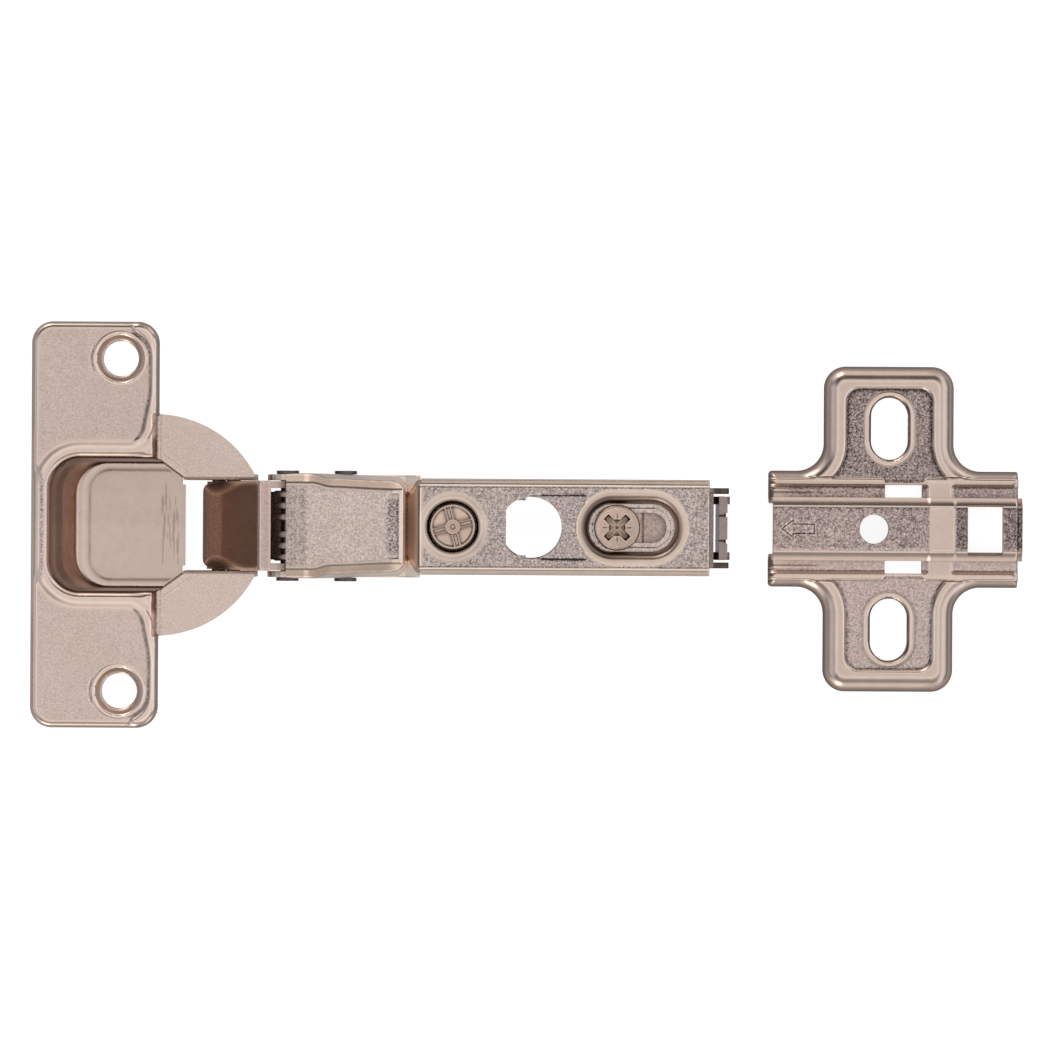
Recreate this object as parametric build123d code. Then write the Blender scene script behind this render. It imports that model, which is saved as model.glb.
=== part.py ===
from build123d import *
from math import acos, atan2, cos, degrees, hypot, pi, sin, sqrt
import os

os.makedirs("parts", exist_ok=True)

# A 35 mm concealed cup hinge with a clip-on arm, opened so that the arm lies parallel to the
# cup's flange, and its cross-shaped mounting plate beside it.
# Frame: the origin is midway between the two cup screw holes, on the face of the door.
# +X runs from the cup along the arm, +Y across it, +Z out of the door. Millimetres.

# ---- cup and flange ----------------------------------------------------------------------
CUP_BORING = 35.0            # the hole that is drilled in the door
CUP_BORING_CLEARANCE = 0.15  # radial
CUP_DEPTH = 11.5
CUP_SHEET = 0.9
SCREW_SPACING = 52.0
SCREW_TO_CUP = 5.5           # from the screw line to the centre of the cup
SCREW_HOLE_R = 2.75
SCREW_DIMPLE_R = 4.1
SCREW_COLLAR_R = 4.7
FLANGE_LENGTH = 63.6
FLANGE_OUTER = 14.0          # screw line to the flange's outer edge
FLANGE_INNER = 6.0           # screw line to the flange's inner edge
FLANGE_CORNER_R = 3.4
FLANGE_FLAT_RISE = 1.45      # flat of the flange above the door
FLANGE_RISE = 1.85           # top of the bead round the well, above the door
FLANGE_EDGE_R = 0.9
FLANGE_BEAD = 2.3            # width of the bead round the well's mouth
FLANGE_BEAD_EDGE = 0.3       # the bead narrows by this much in two layers
FLANGE_BORDER_X = 4.6        # where the raised border along the inner edge starts
WELL_OUTER = 10.85           # screw line to the well's outer edge
WELL_HALF_WIDTH = 10.3
WELL_CORNER_R = 5.2
WELL_KINK_DEPTH = 5.0        # where the outer wall starts to lean in more
WELL_KINK_SLOPE = 1.1        # how far the outer wall leans in by the kink
WELL_END_SLOPE = 2.85        # and by the floor
WELL_SIDE_SLOPE = 0.8
WELL_MOUTH_X = 6.3           # where the well starts to narrow to the channel
CHANNEL_HALF_WIDTH = 7.15
CHANNEL_START_X = 9.8
CHEEK_DEPTH = 9.6            # depth of the channel's cheeks
CRESCENT_SHEET = 1.0
FLOOR_END_X = 9.2

# ---- linkage pivots, as (x, z) -------------------------------------------------------------
CUP_OUTER_PIVOT = (14.85, -7.35)
CUP_INNER_PIVOT = (17.3, -5.45)
ARM_FRONT_PIVOT = (26.5, 5.5)
ARM_REAR_PIVOT = (35.4, 3.0)
FULL_OPENING = 5.0           # how far the hinge opens beyond the position that is drawn
OUTER_LINK_RATIO = 1.28      # turn of the outer link in the cup for each degree of the door
PIN_R = 1.1
PIN_HOLE_CLEARANCE = 0.05    # radial
PIN_HEAD_R = 1.75
PIN_HEAD_THICKNESS = 0.55
SIDE_CLEARANCE = 0.1         # between plates that slide on each other

# ---- outer link ----------------------------------------------------------------------------
LINK_SHEET = 1.1
OUTER_LINK_HALF_WIDTH = 6.95
OUTER_LINK_KNUCKLE_R = 2.55
OUTER_LINK_EYE_R = 2.5
OUTER_LINK_BEND = (21.6, 8.8)    # upper bend of the web, on its outside
OUTER_LINK_LIP_END_X = 23.4
OUTER_LINK_CURL_END = 190.0      # direction in which the knuckle's curl ends
OUTER_LINK_EAR_HALF_WIDTH = 1.2  # below the pivots' line
INNER_PIN_RELIEF = 0.12          # radial, where the outer link's ears swing round the inner pin

# ---- closing spring ------------------------------------------------------------------------
SPRING_WIRE_R = 0.55
SPRING_MEAN_R = 1.75
SPRING_PITCH = 1.8
SPRING_TURNS = 2
SPRING_BRIDGE = 5.0              # how far the bridge reaches back under the hood
SPRING_JOINT = 0.03              # the bridge is drawn this much thinner, where it meets the coils

# ---- inner link ----------------------------------------------------------------------------
INNER_LINK_HALF_WIDTH = 5.3
INNER_LINK_SHEET = 1.2
INNER_LINK_CUP_EYE_R = 1.85
INNER_LINK_ARM_EYE_R = 2.2
INNER_LINK_BEND = (22.4, 1.05)   # where it is cranked, to pass over the door's edge
INNER_LINK_HALF_HEIGHT = 1.0

# ---- arm -----------------------------------------------------------------------------------
ARM_SHEET = 0.9
ARM_HALF_WIDTH = 7.42
ARM_TOP_Z = 10.5
ARM_BOTTOM_Z = -0.5
ARM_START_X = 46.2
ARM_END_X = 91.8
ARM_EDGE_R = 1.5
HOOD_TOP_Z = 11.7
HOOD_FRONT_X = 26.6
HOOD_END_X = 44.9
HOOD_TAPER_X = 30.5              # where the hood starts to taper
HOOD_FRONT_HALF_WIDTH = 7.95
HOOD_END_HALF_WIDTH = 6.9
HOOD_CORNER = 2.2
HOOD_LOW_Z = 3.0
HOOD_EDGE_R = 1.7
ARM_CHEEK_INNER = 7.05
ARM_CHEEK_SHEET = 0.9
ARM_NOSE_R = 3.1
NECK_TOP_Z = 8.0
NECK_HALF_WIDTH = 6.9
REAR_SLOT_OFFSET = (0.01, -0.04)
REAR_SLOT_HALF_TRAVEL = 0.86     # play of the rear pin along its slot
REAR_SLOT_ANGLE = 3.1
REAR_SLOT_PLAY = 0.18            # radial, round the pin

# ---- adjusting screws ----------------------------------------------------------------------
OVERLAY_SCREW_X = 52.2
OVERLAY_HEAD_R = 3.5
OVERLAY_HEAD_THICKNESS = 1.3
OVERLAY_DISH_R = 4.0
OVERLAY_DISH_DEPTH = 1.7
OVERLAY_DISH_EDGE_R = 0.8
OVERLAY_FACE_R = 3.05            # sunk face of the head
OVERLAY_FACE_DEPTH = 0.35
OVERLAY_BOSS_R = 1.25
OVERLAY_RIB = (0.32, 0.42)       # width of a rib, and how far its middle is off the radius
OVERLAY_SHANK_R = 2.6
OVERLAY_NECK_R = 1.5
OVERLAY_FOOT_R = 2.4
THREAD_CLEARANCE = 0.05
DEPTH_SCREW_X = 77.5
DEPTH_HEAD_R = 3.55
DEPTH_HEAD_THICKNESS = 2.0
DEPTH_SHANK_R = 2.1
DEPTH_SLOT_CLEARANCE = 0.15
DEPTH_CROSS = (4.8, 0.9)         # length and width of the head's cross recess
DEPTH_TRAVEL_OUT = 0.8           # the arm can move this far away from the cup
DEPTH_TRAVEL_IN = 5.0            # and this far towards it
RECESS_DEPTH = 2.1
RECESS_WALL_R = 3.85             # half width of the recess floor
RECESS_RIM = 1.9                 # width of the rounded rim around the recess
RECESS_EDGE_R = 0.9
WINDOW_LEFT = 3.9                # reach of the access window towards the cup
WINDOW_HALF_WIDTH = 4.2
WINDOW_CORNER = 1.35
WINDOW_R = 4.76

# ---- clip carriage -------------------------------------------------------------------------
CARRIAGE_SHEET = 0.9
CARRIAGE_HALF_WIDTH = 6.25
CARRIAGE_TOP_Z = 6.3
CARRIAGE_BOTTOM_Z = -3.5
CARRIAGE_START_X = 49.6
CARRIAGE_END_X = 92.6
CARRIAGE_PRONG_END_X = 95.1
ACCESS_HOLE_X = 64.3
ACCESS_HOLE_R = 4.75
NUT_HALF_SIZE = 3.9
NUT_FLANGE = 1.0
NUT_CLEARANCE = 0.4
OVERLAY_TILT_LIFT = 0.95         # rise and fall of the arm at the overlay screw

# ---- release lever -------------------------------------------------------------------------
LEVER_PIVOT = (89.6, 3.2)
LEVER_PIN_R = 0.9
LEVER_HALF_WIDTH = 4.95
LEVER_BACK_X = 94.7
LEVER_BACK_THICKNESS = 1.3
LEVER_TOP_Z = 7.4
LEVER_BOTTOM_Z = -5.0
LEVER_SHEET = 1.2
LEVER_EYE_R = 1.8
LEVER_SPRING_WIRE_R = 0.3
LEVER_SPRING_MEAN_R = 1.35
LEVER_SPRING_PITCH = 0.8
LEVER_SPRING_TURNS = 6

# ---- mounting plate ------------------------------------------------------------------------
PLATE_START_X = 102.1
PLATE_LENGTH = 40.0
PLATE_SLOT_X = 121.3
PLATE_SLOT_SPACING = 32.0
PLATE_SLOT_R = 2.95
PLATE_SLOT_LENGTH = 9.7
PLATE_WING_WIDTH = 20.8
PLATE_WING_REACH = 25.95
PLATE_WING_CORNER_R = 3.6
PLATE_BODY_HALF_WIDTH = 9.3
PLATE_FLARE_R = 4.3
PLATE_SHEET = 1.2
PLATE_RIM_HEIGHT = 2.3
PLATE_RIM_WIDTH = 3.1
PLATE_RAIL_HEIGHT = 5.5
PLATE_RAIL_FLAT = 3.65
PLATE_RAIL_HALF_WIDTH = 5.1
PLATE_CENTRE_HOLE_X = 118.6
PLATE_CENTRE_HOLE_R = 2.3
PLATE_POCKET_CORNER_R = 2.0
PLATE_COLLAR = 1.1               # width of the collar round a slot
PLATE_COLLAR_RISE = 0.6
PLATE_GROOVE_WIDTH = 1.7         # groove along each side of the rail
PLATE_GROOVE_DEPTH = 0.4
PLATE_STEP_X = (127.3, 131.4)    # smooth raised step across the plate
PLATE_STEP_RISE = 0.14
SIDE_WINDOW_X = 123.6            # the two small windows beside the rail
SIDE_WINDOW_Y = 6.08
SIDE_WINDOW_SIZE = (6.0, 2.08)
REAR_WINDOW_FROM_END = 5.9       # middle of the large window in the rail, from the rear end
REAR_WINDOW_SIZE = (5.6, 8.1)

FLOOR_Z = -CUP_DEPTH             # the surface that the cup and the plate lie on


# ---- helpers -------------------------------------------------------------------------------
def slab(sketch, y_low, y_high):
    """A sketch drawn in x and z, extruded between two values of y."""
    return extrude(Plane.XZ.offset(-y_high) * sketch, amount=y_high - y_low)


def slab_pair(sketch, y_inner, y_outer):
    """The same slab on both sides of the centre plane."""
    one = slab(sketch, y_inner, y_outer)
    return one + mirror(one, about=Plane.XZ)


def disc(centre, radius):
    """A disc in x and z."""
    return Pos(centre[0], centre[1]) * Circle(radius)


def cross_bar(centre, radius, half_length):
    """A round bar along Y through a pivot."""
    return Pos(centre[0], 0, centre[1]) * Rot(90, 0, 0) * Cylinder(radius, 2 * half_length)


def strap(start, end, half_width):
    """A straight strap with round ends between two points, in x and z."""
    length = hypot(end[0] - start[0], end[1] - start[1])
    angle = degrees(atan2(end[1] - start[1], end[0] - start[0]))
    middle = ((start[0] + end[0]) / 2, (start[1] + end[1]) / 2)
    return Pos(*middle) * Rot(0, 0, angle) * SlotCenterToCenter(length, 2 * half_width)


def pin_with_heads(centre, half_length):
    """A riveted pin: the shank ends in a flat head on each side."""
    pin = cross_bar(centre, PIN_R, half_length)
    head = slab_pair(disc(centre, PIN_HEAD_R), half_length - PIN_HEAD_THICKNESS, half_length)
    return pin + head


def u_channel(half_width, top_z, bottom_z, sheet, edge_r, x_start, x_end):
    """A channel that opens downwards, with rounded upper edges."""
    outer = Pos(0, (top_z + bottom_z) / 2) * Rectangle(2 * half_width, top_z - bottom_z)
    outer = fillet(outer.vertices().group_by(Axis.Y)[-1], edge_r)
    inner = Pos(0, (top_z - sheet + bottom_z) / 2) * Rectangle(
        2 * (half_width - sheet), top_z - sheet - bottom_z)
    inner = fillet(inner.vertices().group_by(Axis.Y)[-1], max(edge_r - sheet, 0.2))
    return extrude(Plane.YZ.offset(x_start) * (outer - inner), amount=x_end - x_start)


# ---- cup -----------------------------------------------------------------------------------
def well_outline(grow, depth):
    """Plan of the well at a depth, grown outwards by a wall."""
    floor_depth = CUP_DEPTH - CUP_SHEET
    share = depth / floor_depth
    if depth <= WELL_KINK_DEPTH:
        lean = WELL_KINK_SLOPE * depth / WELL_KINK_DEPTH
    else:
        below = (depth - WELL_KINK_DEPTH) / (floor_depth - WELL_KINK_DEPTH)
        lean = WELL_KINK_SLOPE + (WELL_END_SLOPE - WELL_KINK_SLOPE) * below
    left = -WELL_OUTER + lean - grow
    half = WELL_HALF_WIDTH - WELL_SIDE_SLOPE * share + grow
    end_half = CHANNEL_HALF_WIDTH - WELL_SIDE_SLOPE * share + grow
    points = [(left, -half), (WELL_MOUTH_X, -half), (CHANNEL_START_X + grow, -end_half),
              (CHANNEL_START_X + grow, end_half), (WELL_MOUTH_X, half), (left, half)]
    face = make_face(Polyline(*points, close=True))
    return fillet(face.vertices().group_by(Axis.X)[0], WELL_CORNER_R + grow)


def well_solid(grow, top, bottom):
    """The well between two heights, as lofts of its plans above and below the kink."""
    heights = [top, bottom]
    if bottom < -WELL_KINK_DEPTH < top:
        heights.insert(1, -WELL_KINK_DEPTH)
    solid = None
    for high, low in zip(heights[:-1], heights[1:]):
        stage = loft([Pos(0, 0, low) * well_outline(grow, -low),
                      Pos(0, 0, high) * well_outline(grow, -high)], ruled=True)
        solid = stage if solid is None else solid + stage
    return solid


def flange():
    """Raised flange: a flat top with its edges turned down to the door, a bead round the well
    and a raised border along the inner edge."""
    width = FLANGE_OUTER + FLANGE_INNER
    centre_x = (FLANGE_INNER - FLANGE_OUTER) / 2
    plan = Pos(centre_x, 0) * RectangleRounded(width, FLANGE_LENGTH, FLANGE_CORNER_R)
    body = extrude(plan, amount=FLANGE_FLAT_RISE)
    body = fillet(body.edges().group_by(Axis.Z)[-1], FLANGE_EDGE_R)
    far = FLANGE_BEAD
    inner_end = FLANGE_INNER - FLANGE_EDGE_R
    region = Pos((inner_end - FLANGE_OUTER) / 2, 0) * Rectangle(
        inner_end + FLANGE_OUTER - 2 * FLANGE_EDGE_R, 2 * (WELL_HALF_WIDTH + far))
    bead_rise = FLANGE_RISE - FLANGE_FLAT_RISE
    for layer in (0, 1):
        bead = well_outline(far - layer * FLANGE_BEAD_EDGE, 0) & region
        body += extrude(Pos(0, 0, FLANGE_FLAT_RISE + layer * bead_rise / 2) * bead,
                        amount=bead_rise / 2)
    border = Pos((FLANGE_BORDER_X + inner_end) / 2, 0, FLANGE_FLAT_RISE + bead_rise / 4) * Box(
        inner_end - FLANGE_BORDER_X, FLANGE_LENGTH - 4 * FLANGE_CORNER_R, bead_rise / 2)
    body += border
    hollow_plan = Pos(centre_x, 0) * RectangleRounded(
        width - 2 * CUP_SHEET, FLANGE_LENGTH - 2 * CUP_SHEET, FLANGE_CORNER_R - CUP_SHEET)
    body -= extrude(hollow_plan, amount=FLANGE_FLAT_RISE - CUP_SHEET)
    for side in (-1, 1):
        y = side * SCREW_SPACING / 2
        body += Pos(0, y, FLANGE_FLAT_RISE / 2) * Cylinder(SCREW_COLLAR_R, FLANGE_FLAT_RISE)
    for side in (-1, 1):
        y = side * SCREW_SPACING / 2
        body -= Pos(0, y, FLANGE_RISE / 2) * Cylinder(SCREW_HOLE_R, 2 * FLANGE_RISE)
        sink = FLANGE_FLAT_RISE - CUP_SHEET * 0.6
        body -= Pos(0, y, FLANGE_FLAT_RISE - sink / 2) * Cone(SCREW_HOLE_R, SCREW_DIMPLE_R, sink)
    return body


def hinge_cup():
    """Pressed cup: flange, well, and the two crescents with the cheeks that hold the pins."""
    radius = CUP_BORING / 2 - CUP_BORING_CLEARANCE
    disc_plan = Pos(SCREW_TO_CUP, 0) * Circle(radius)
    keep = Pos(SCREW_TO_CUP + radius / 2 - 0.5, 0) * Rectangle(radius + 1, 2 * radius)
    crescents = extrude(Pos(0, 0, -CRESCENT_SHEET) * (disc_plan & keep), amount=CRESCENT_SHEET)
    step_height = FLANGE_FLAT_RISE + CRESCENT_SHEET - CUP_SHEET
    step = Pos(FLANGE_INNER - CUP_SHEET / 2, 0, -CRESCENT_SHEET + step_height / 2)
    crescents += step * Box(CUP_SHEET, 2 * sqrt(radius ** 2 - 1), step_height)

    cheek_outer = CHANNEL_HALF_WIDTH + CUP_SHEET
    cheek_end = SCREW_TO_CUP + sqrt(radius ** 2 - cheek_outer ** 2)
    cheek_plan = Pos((CHANNEL_START_X + cheek_end) / 2, -CHEEK_DEPTH / 2) * Rectangle(
        cheek_end - CHANNEL_START_X, CHEEK_DEPTH)
    cheek_plan = fillet(cheek_plan.vertices().group_by(Axis.Y)[0].group_by(Axis.X)[-1], 2.5)
    cheeks = slab_pair(cheek_plan, CHANNEL_HALF_WIDTH, cheek_outer)

    body = flange() + crescents + cheeks
    body += well_solid(CUP_SHEET, 0, -CUP_DEPTH)
    body += well_solid(CUP_SHEET, FLANGE_FLAT_RISE, 0) & (Pos(-4, 0, 0) * Box(20.2, 60, 10))
    body -= well_solid(0, FLANGE_RISE + 1, -CUP_DEPTH + CUP_SHEET)
    channel_length = cheek_end + 3 - FLOOR_END_X
    body -= Pos(FLOOR_END_X + channel_length / 2, 0, -CUP_DEPTH / 2) * Box(
        channel_length, 2 * CHANNEL_HALF_WIDTH, 2 * CUP_DEPTH)
    for pivot in (CUP_OUTER_PIVOT, CUP_INNER_PIVOT):
        body -= cross_bar(pivot, PIN_R, CUP_BORING)
    return body


def cup_pin(pivot):
    """A cup pin, pressed into both cheeks and trimmed to the boring."""
    return cross_bar(pivot, PIN_R, CHANNEL_HALF_WIDTH + CUP_SHEET + 0.3)


# ---- links ---------------------------------------------------------------------------------
def outer_link():
    """Folded sheet link that shows between the cup and the arm."""
    px, pz = CUP_OUTER_PIVOT
    bx, bz = OUTER_LINK_BEND
    radius, sheet = OUTER_LINK_KNUCKLE_R, LINK_SHEET
    # the web's outer face leaves the knuckle along its tangent to the upper bend
    reach = hypot(bx - px, bz - pz)
    touch = atan2(bz - pz, bx - px) + acos(radius / reach)
    tx, tz = px + radius * cos(touch), pz + radius * sin(touch)
    run = hypot(bx - tx, bz - tz)
    ux, uz = (bx - tx) / run, (bz - tz) / run
    lip_end = OUTER_LINK_LIP_END_X
    slope = make_face(Polyline(
        (tx, tz), (bx, bz), (lip_end, bz), (lip_end, bz - sheet), (bx + sheet * 0.4, bz - sheet),
        (tx + uz * sheet, tz - ux * sheet), close=True))
    stop = OUTER_LINK_CURL_END * pi / 180
    half_way = (touch + stop) / 2
    sector = make_face(Polyline(
        (px, pz), (px + 5 * cos(touch), pz + 5 * sin(touch)),
        (px + 6 * cos(half_way), pz + 6 * sin(half_way)),
        (px + 5 * cos(stop), pz + 5 * sin(stop)), close=True))
    curl = (disc(CUP_OUTER_PIVOT, radius) - disc(CUP_OUTER_PIVOT, radius - sheet)) & sector
    inner_half = OUTER_LINK_HALF_WIDTH - sheet
    web = slab(slope + curl, -inner_half - 0.3, inner_half + 0.3)

    # the ears leave the inner cup pin free as they swing round it
    gap_x, gap_z = CUP_INNER_PIVOT[0] - px, CUP_INNER_PIVOT[1] - pz
    spacing = hypot(gap_x, gap_z)
    top_angle = degrees(atan2(gap_z, gap_x)) + OUTER_LINK_RATIO * FULL_OPENING
    relief_r = PIN_R + INNER_PIN_RELIEF
    relief = SlotArc(CenterArc(CUP_OUTER_PIVOT, spacing, top_angle - 150, 150), 2 * relief_r)
    ear = strap(CUP_OUTER_PIVOT, ARM_FRONT_PIVOT, OUTER_LINK_EAR_HALF_WIDTH)
    ear -= disc(CUP_OUTER_PIVOT, spacing + relief_r + 0.6)
    ear += make_face(Polyline(
        (tx, tz), (bx, bz), (lip_end, bz), ARM_FRONT_PIVOT, CUP_OUTER_PIVOT, close=True))
    ear += disc(ARM_FRONT_PIVOT, OUTER_LINK_EYE_R)
    ear += disc(CUP_OUTER_PIVOT, radius) & sector
    ear -= relief
    ear += disc(CUP_OUTER_PIVOT, spacing - relief_r)
    for pivot in (CUP_OUTER_PIVOT, ARM_FRONT_PIVOT):
        ear -= disc(pivot, PIN_R + PIN_HOLE_CLEARANCE)
    return web + slab_pair(ear, inner_half, OUTER_LINK_HALF_WIDTH)


def inner_link():
    """Cranked U-shaped link under the outer one, with the rear arm pin in its far end."""
    height = INNER_LINK_HALF_HEIGHT
    rear_leg = strap(INNER_LINK_BEND, ARM_REAR_PIVOT, height)
    ear = strap(CUP_INNER_PIVOT, INNER_LINK_BEND, height) + rear_leg
    ear += disc(CUP_INNER_PIVOT, INNER_LINK_CUP_EYE_R) + disc(ARM_REAR_PIVOT, INNER_LINK_ARM_EYE_R)
    ear -= disc(CUP_INNER_PIVOT, PIN_R + PIN_HOLE_CLEARANCE)
    ear -= disc(ARM_REAR_PIVOT, PIN_R)
    inner_half = INNER_LINK_HALF_WIDTH - INNER_LINK_SHEET
    link = slab_pair(ear, inner_half, INNER_LINK_HALF_WIDTH)
    # the back, folded along the upper edge between the two eyes
    back = rear_leg - Pos(0, -INNER_LINK_SHEET) * rear_leg
    start, end = INNER_LINK_BEND[0], ARM_REAR_PIVOT[0] - INNER_LINK_ARM_EYE_R - 0.5
    back &= Pos((start + end) / 2, ARM_REAR_PIVOT[1]) * Rectangle(end - start, 12)
    return link + slab(back, -inner_half - 0.2, inner_half + 0.2)


# ---- arm -----------------------------------------------------------------------------------
def hood_plan(inset, z, front_half, end_half, x_front):
    """Plan of the hood at one height: parallel over the pivots, then tapering to the neck."""
    x_end = HOOD_END_X - inset
    cut = HOOD_CORNER
    points = [(x_front, -front_half), (HOOD_TAPER_X, -front_half), (x_end - cut, -end_half),
              (x_end, -end_half + cut), (x_end, end_half - cut), (x_end - cut, end_half),
              (HOOD_TAPER_X, front_half), (x_front, front_half)]
    return Pos(0, 0, z) * make_face(Polyline(*points, close=True))


def hood():
    """Raised hood over the arm's pivots, open in front and below."""
    low_half = ARM_CHEEK_INNER + ARM_CHEEK_SHEET
    outer = loft([hood_plan(0, HOOD_LOW_Z, low_half, low_half, HOOD_FRONT_X),
                  hood_plan(0, HOOD_TOP_Z, HOOD_FRONT_HALF_WIDTH, HOOD_END_HALF_WIDTH, HOOD_FRONT_X)],
                 ruled=True)
    outer = fillet(outer.edges().group_by(Axis.Z)[-1].sort_by(Axis.X)[1:], HOOD_EDGE_R)
    sheet = ARM_SHEET
    inner = loft([hood_plan(sheet, HOOD_LOW_Z - 1, low_half - sheet, low_half - sheet,
                            HOOD_FRONT_X - 5),
                  hood_plan(sheet, HOOD_TOP_Z - sheet, HOOD_FRONT_HALF_WIDTH - sheet,
                            HOOD_END_HALF_WIDTH - sheet, HOOD_FRONT_X - 5)], ruled=True)
    return outer - inner


def arm_cheeks():
    """Side plates of the arm's front, from the rounded nose back to the channel."""
    x_nose, z_nose = ARM_FRONT_PIVOT
    x_back = ARM_START_X + 0.4
    side = make_face(Polyline(
        (x_nose, z_nose + ARM_NOSE_R), (HOOD_TAPER_X, HOOD_TOP_Z - 2.5),
        (HOOD_END_X - HOOD_CORNER, HOOD_TOP_Z - 3), (x_back, NECK_TOP_Z - 3),
        (x_back, ARM_BOTTOM_Z), (ARM_REAR_PIVOT[0] - 3, ARM_BOTTOM_Z),
        (x_nose - 1.3, z_nose - 2.8), close=True))
    side += disc(ARM_FRONT_PIVOT, ARM_NOSE_R)
    return slab_pair(side, ARM_CHEEK_INNER, ARM_CHEEK_INNER + ARM_CHEEK_SHEET)


def oval(half_length_left, half_length_right, half_width):
    """An oval around the depth screw's slot."""
    left = DEPTH_SCREW_X - half_length_left
    right = DEPTH_SCREW_X + half_length_right
    return Pos((left + right) / 2, 0) * SlotOverall(right - left, 2 * half_width)


def hinge_arm():
    """The arm: one pressing with the hood, the neck and the rear channel."""
    body = u_channel(ARM_HALF_WIDTH, ARM_TOP_Z, ARM_BOTTOM_Z, ARM_SHEET, ARM_EDGE_R,
                     ARM_START_X, ARM_END_X)
    body += u_channel(NECK_HALF_WIDTH, NECK_TOP_Z, ARM_BOTTOM_Z, ARM_SHEET, ARM_EDGE_R,
                      HOOD_END_X - ARM_SHEET, ARM_START_X + ARM_SHEET)
    front_wall = Pos(ARM_START_X + ARM_SHEET / 2, 0, (ARM_TOP_Z + NECK_TOP_Z) / 2 - ARM_SHEET)
    body += front_wall * Box(ARM_SHEET, 2 * ARM_HALF_WIDTH - 2 * ARM_EDGE_R,
                             ARM_TOP_Z - NECK_TOP_Z + ARM_SHEET)
    body += hood() + arm_cheeks()

    # dished seat and thread of the overlay screw
    dish = Pos(OVERLAY_SCREW_X, 0, ARM_TOP_Z - OVERLAY_DISH_DEPTH)
    dish_height = OVERLAY_DISH_DEPTH + ARM_SHEET
    body += Pos(OVERLAY_SCREW_X, 0, ARM_TOP_Z - dish_height / 2) * Cylinder(
        OVERLAY_DISH_R + ARM_SHEET, dish_height)
    body -= dish * Pos(0, 0, OVERLAY_DISH_DEPTH) * Cylinder(OVERLAY_DISH_R, 2 * OVERLAY_DISH_DEPTH)
    body -= dish * Cylinder(OVERLAY_SHANK_R + THREAD_CLEARANCE, 8)
    mouth = body.edges().filter_by(GeomType.CIRCLE).filter_by(
        lambda e: abs(e.radius - OVERLAY_DISH_R) < 0.01 and abs(e.center().Z - ARM_TOP_Z) < 0.01)
    body = fillet(mouth, OVERLAY_DISH_EDGE_R)

    # access window
    left, half, cut = ACCESS_HOLE_X - WINDOW_LEFT, WINDOW_HALF_WIDTH, WINDOW_CORNER
    window = make_face(Polyline(
        (left, -half + cut), (left + cut, -half), (ACCESS_HOLE_X, -half), (ACCESS_HOLE_X, half),
        (left + cut, half), (left, half - cut), close=True))
    right_half = Pos(ACCESS_HOLE_X + WINDOW_R - 0.8, 0) * Rectangle(2 * WINDOW_R, 2 * WINDOW_R)
    window += (Pos(ACCESS_HOLE_X, 0) * Circle(WINDOW_R)) & right_half
    body -= extrude(Pos(0, 0, ARM_TOP_Z - 2) * window, amount=4)

    # oval recess, with the slot for the depth screw in its floor
    left = DEPTH_HEAD_R + DEPTH_TRAVEL_OUT + DEPTH_SLOT_CLEARANCE
    right = DEPTH_HEAD_R + DEPTH_TRAVEL_IN + DEPTH_SLOT_CLEARANCE
    rim = RECESS_RIM - ARM_SHEET
    tub = extrude(Pos(0, 0, ARM_TOP_Z - RECESS_DEPTH - ARM_SHEET) * oval(
        left + rim, right + rim, RECESS_WALL_R + rim), amount=RECESS_DEPTH + ARM_SHEET)
    body += tub
    recess = extrude(Pos(0, 0, ARM_TOP_Z - RECESS_DEPTH) * oval(left, right, RECESS_WALL_R),
                     amount=RECESS_DEPTH)
    body -= recess
    lip = body.edges().filter_by(lambda e: abs(e.center().Z - ARM_TOP_Z) < 0.01
                                 and recess.bounding_box().min.X - 0.01 < e.bounding_box().min.X
                                 and e.bounding_box().max.X < recess.bounding_box().max.X + 0.01
                                 and e.bounding_box().max.Y < RECESS_WALL_R + 0.01
                                 and e.bounding_box().min.Y > -RECESS_WALL_R - 0.01)
    body = fillet(lip, RECESS_EDGE_R)
    shank = DEPTH_SHANK_R + DEPTH_SLOT_CLEARANCE
    body -= extrude(Pos(0, 0, ARM_TOP_Z - RECESS_DEPTH - 2) * oval(
        shank + DEPTH_TRAVEL_OUT, shank + DEPTH_TRAVEL_IN, shank), amount=4)

    # front pin holes, and the slots that leave the rear pin free
    body -= cross_bar(ARM_FRONT_PIVOT, PIN_R, CUP_BORING)
    slot_radius = PIN_R + REAR_SLOT_PLAY
    slot = Rot(0, 0, REAR_SLOT_ANGLE) * SlotCenterToCenter(2 * REAR_SLOT_HALF_TRAVEL, 2 * slot_radius)
    slot = Pos(ARM_REAR_PIVOT[0] + REAR_SLOT_OFFSET[0], ARM_REAR_PIVOT[1] + REAR_SLOT_OFFSET[1]) * slot
    body -= slab(slot, -CUP_BORING, CUP_BORING)
    return body


def arm_front_pin():
    """Pin of the outer link, riveted over the arm's cheeks."""
    return pin_with_heads(ARM_FRONT_PIVOT, ARM_CHEEK_INNER + ARM_CHEEK_SHEET + PIN_HEAD_THICKNESS + 0.05)


def arm_rear_pin():
    """Pin of the inner link; it moves with that link, in the arm's slots."""
    return pin_with_heads(ARM_REAR_PIVOT, ARM_CHEEK_INNER + ARM_CHEEK_SHEET + PIN_HEAD_THICKNESS
                          + SIDE_CLEARANCE)


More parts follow.
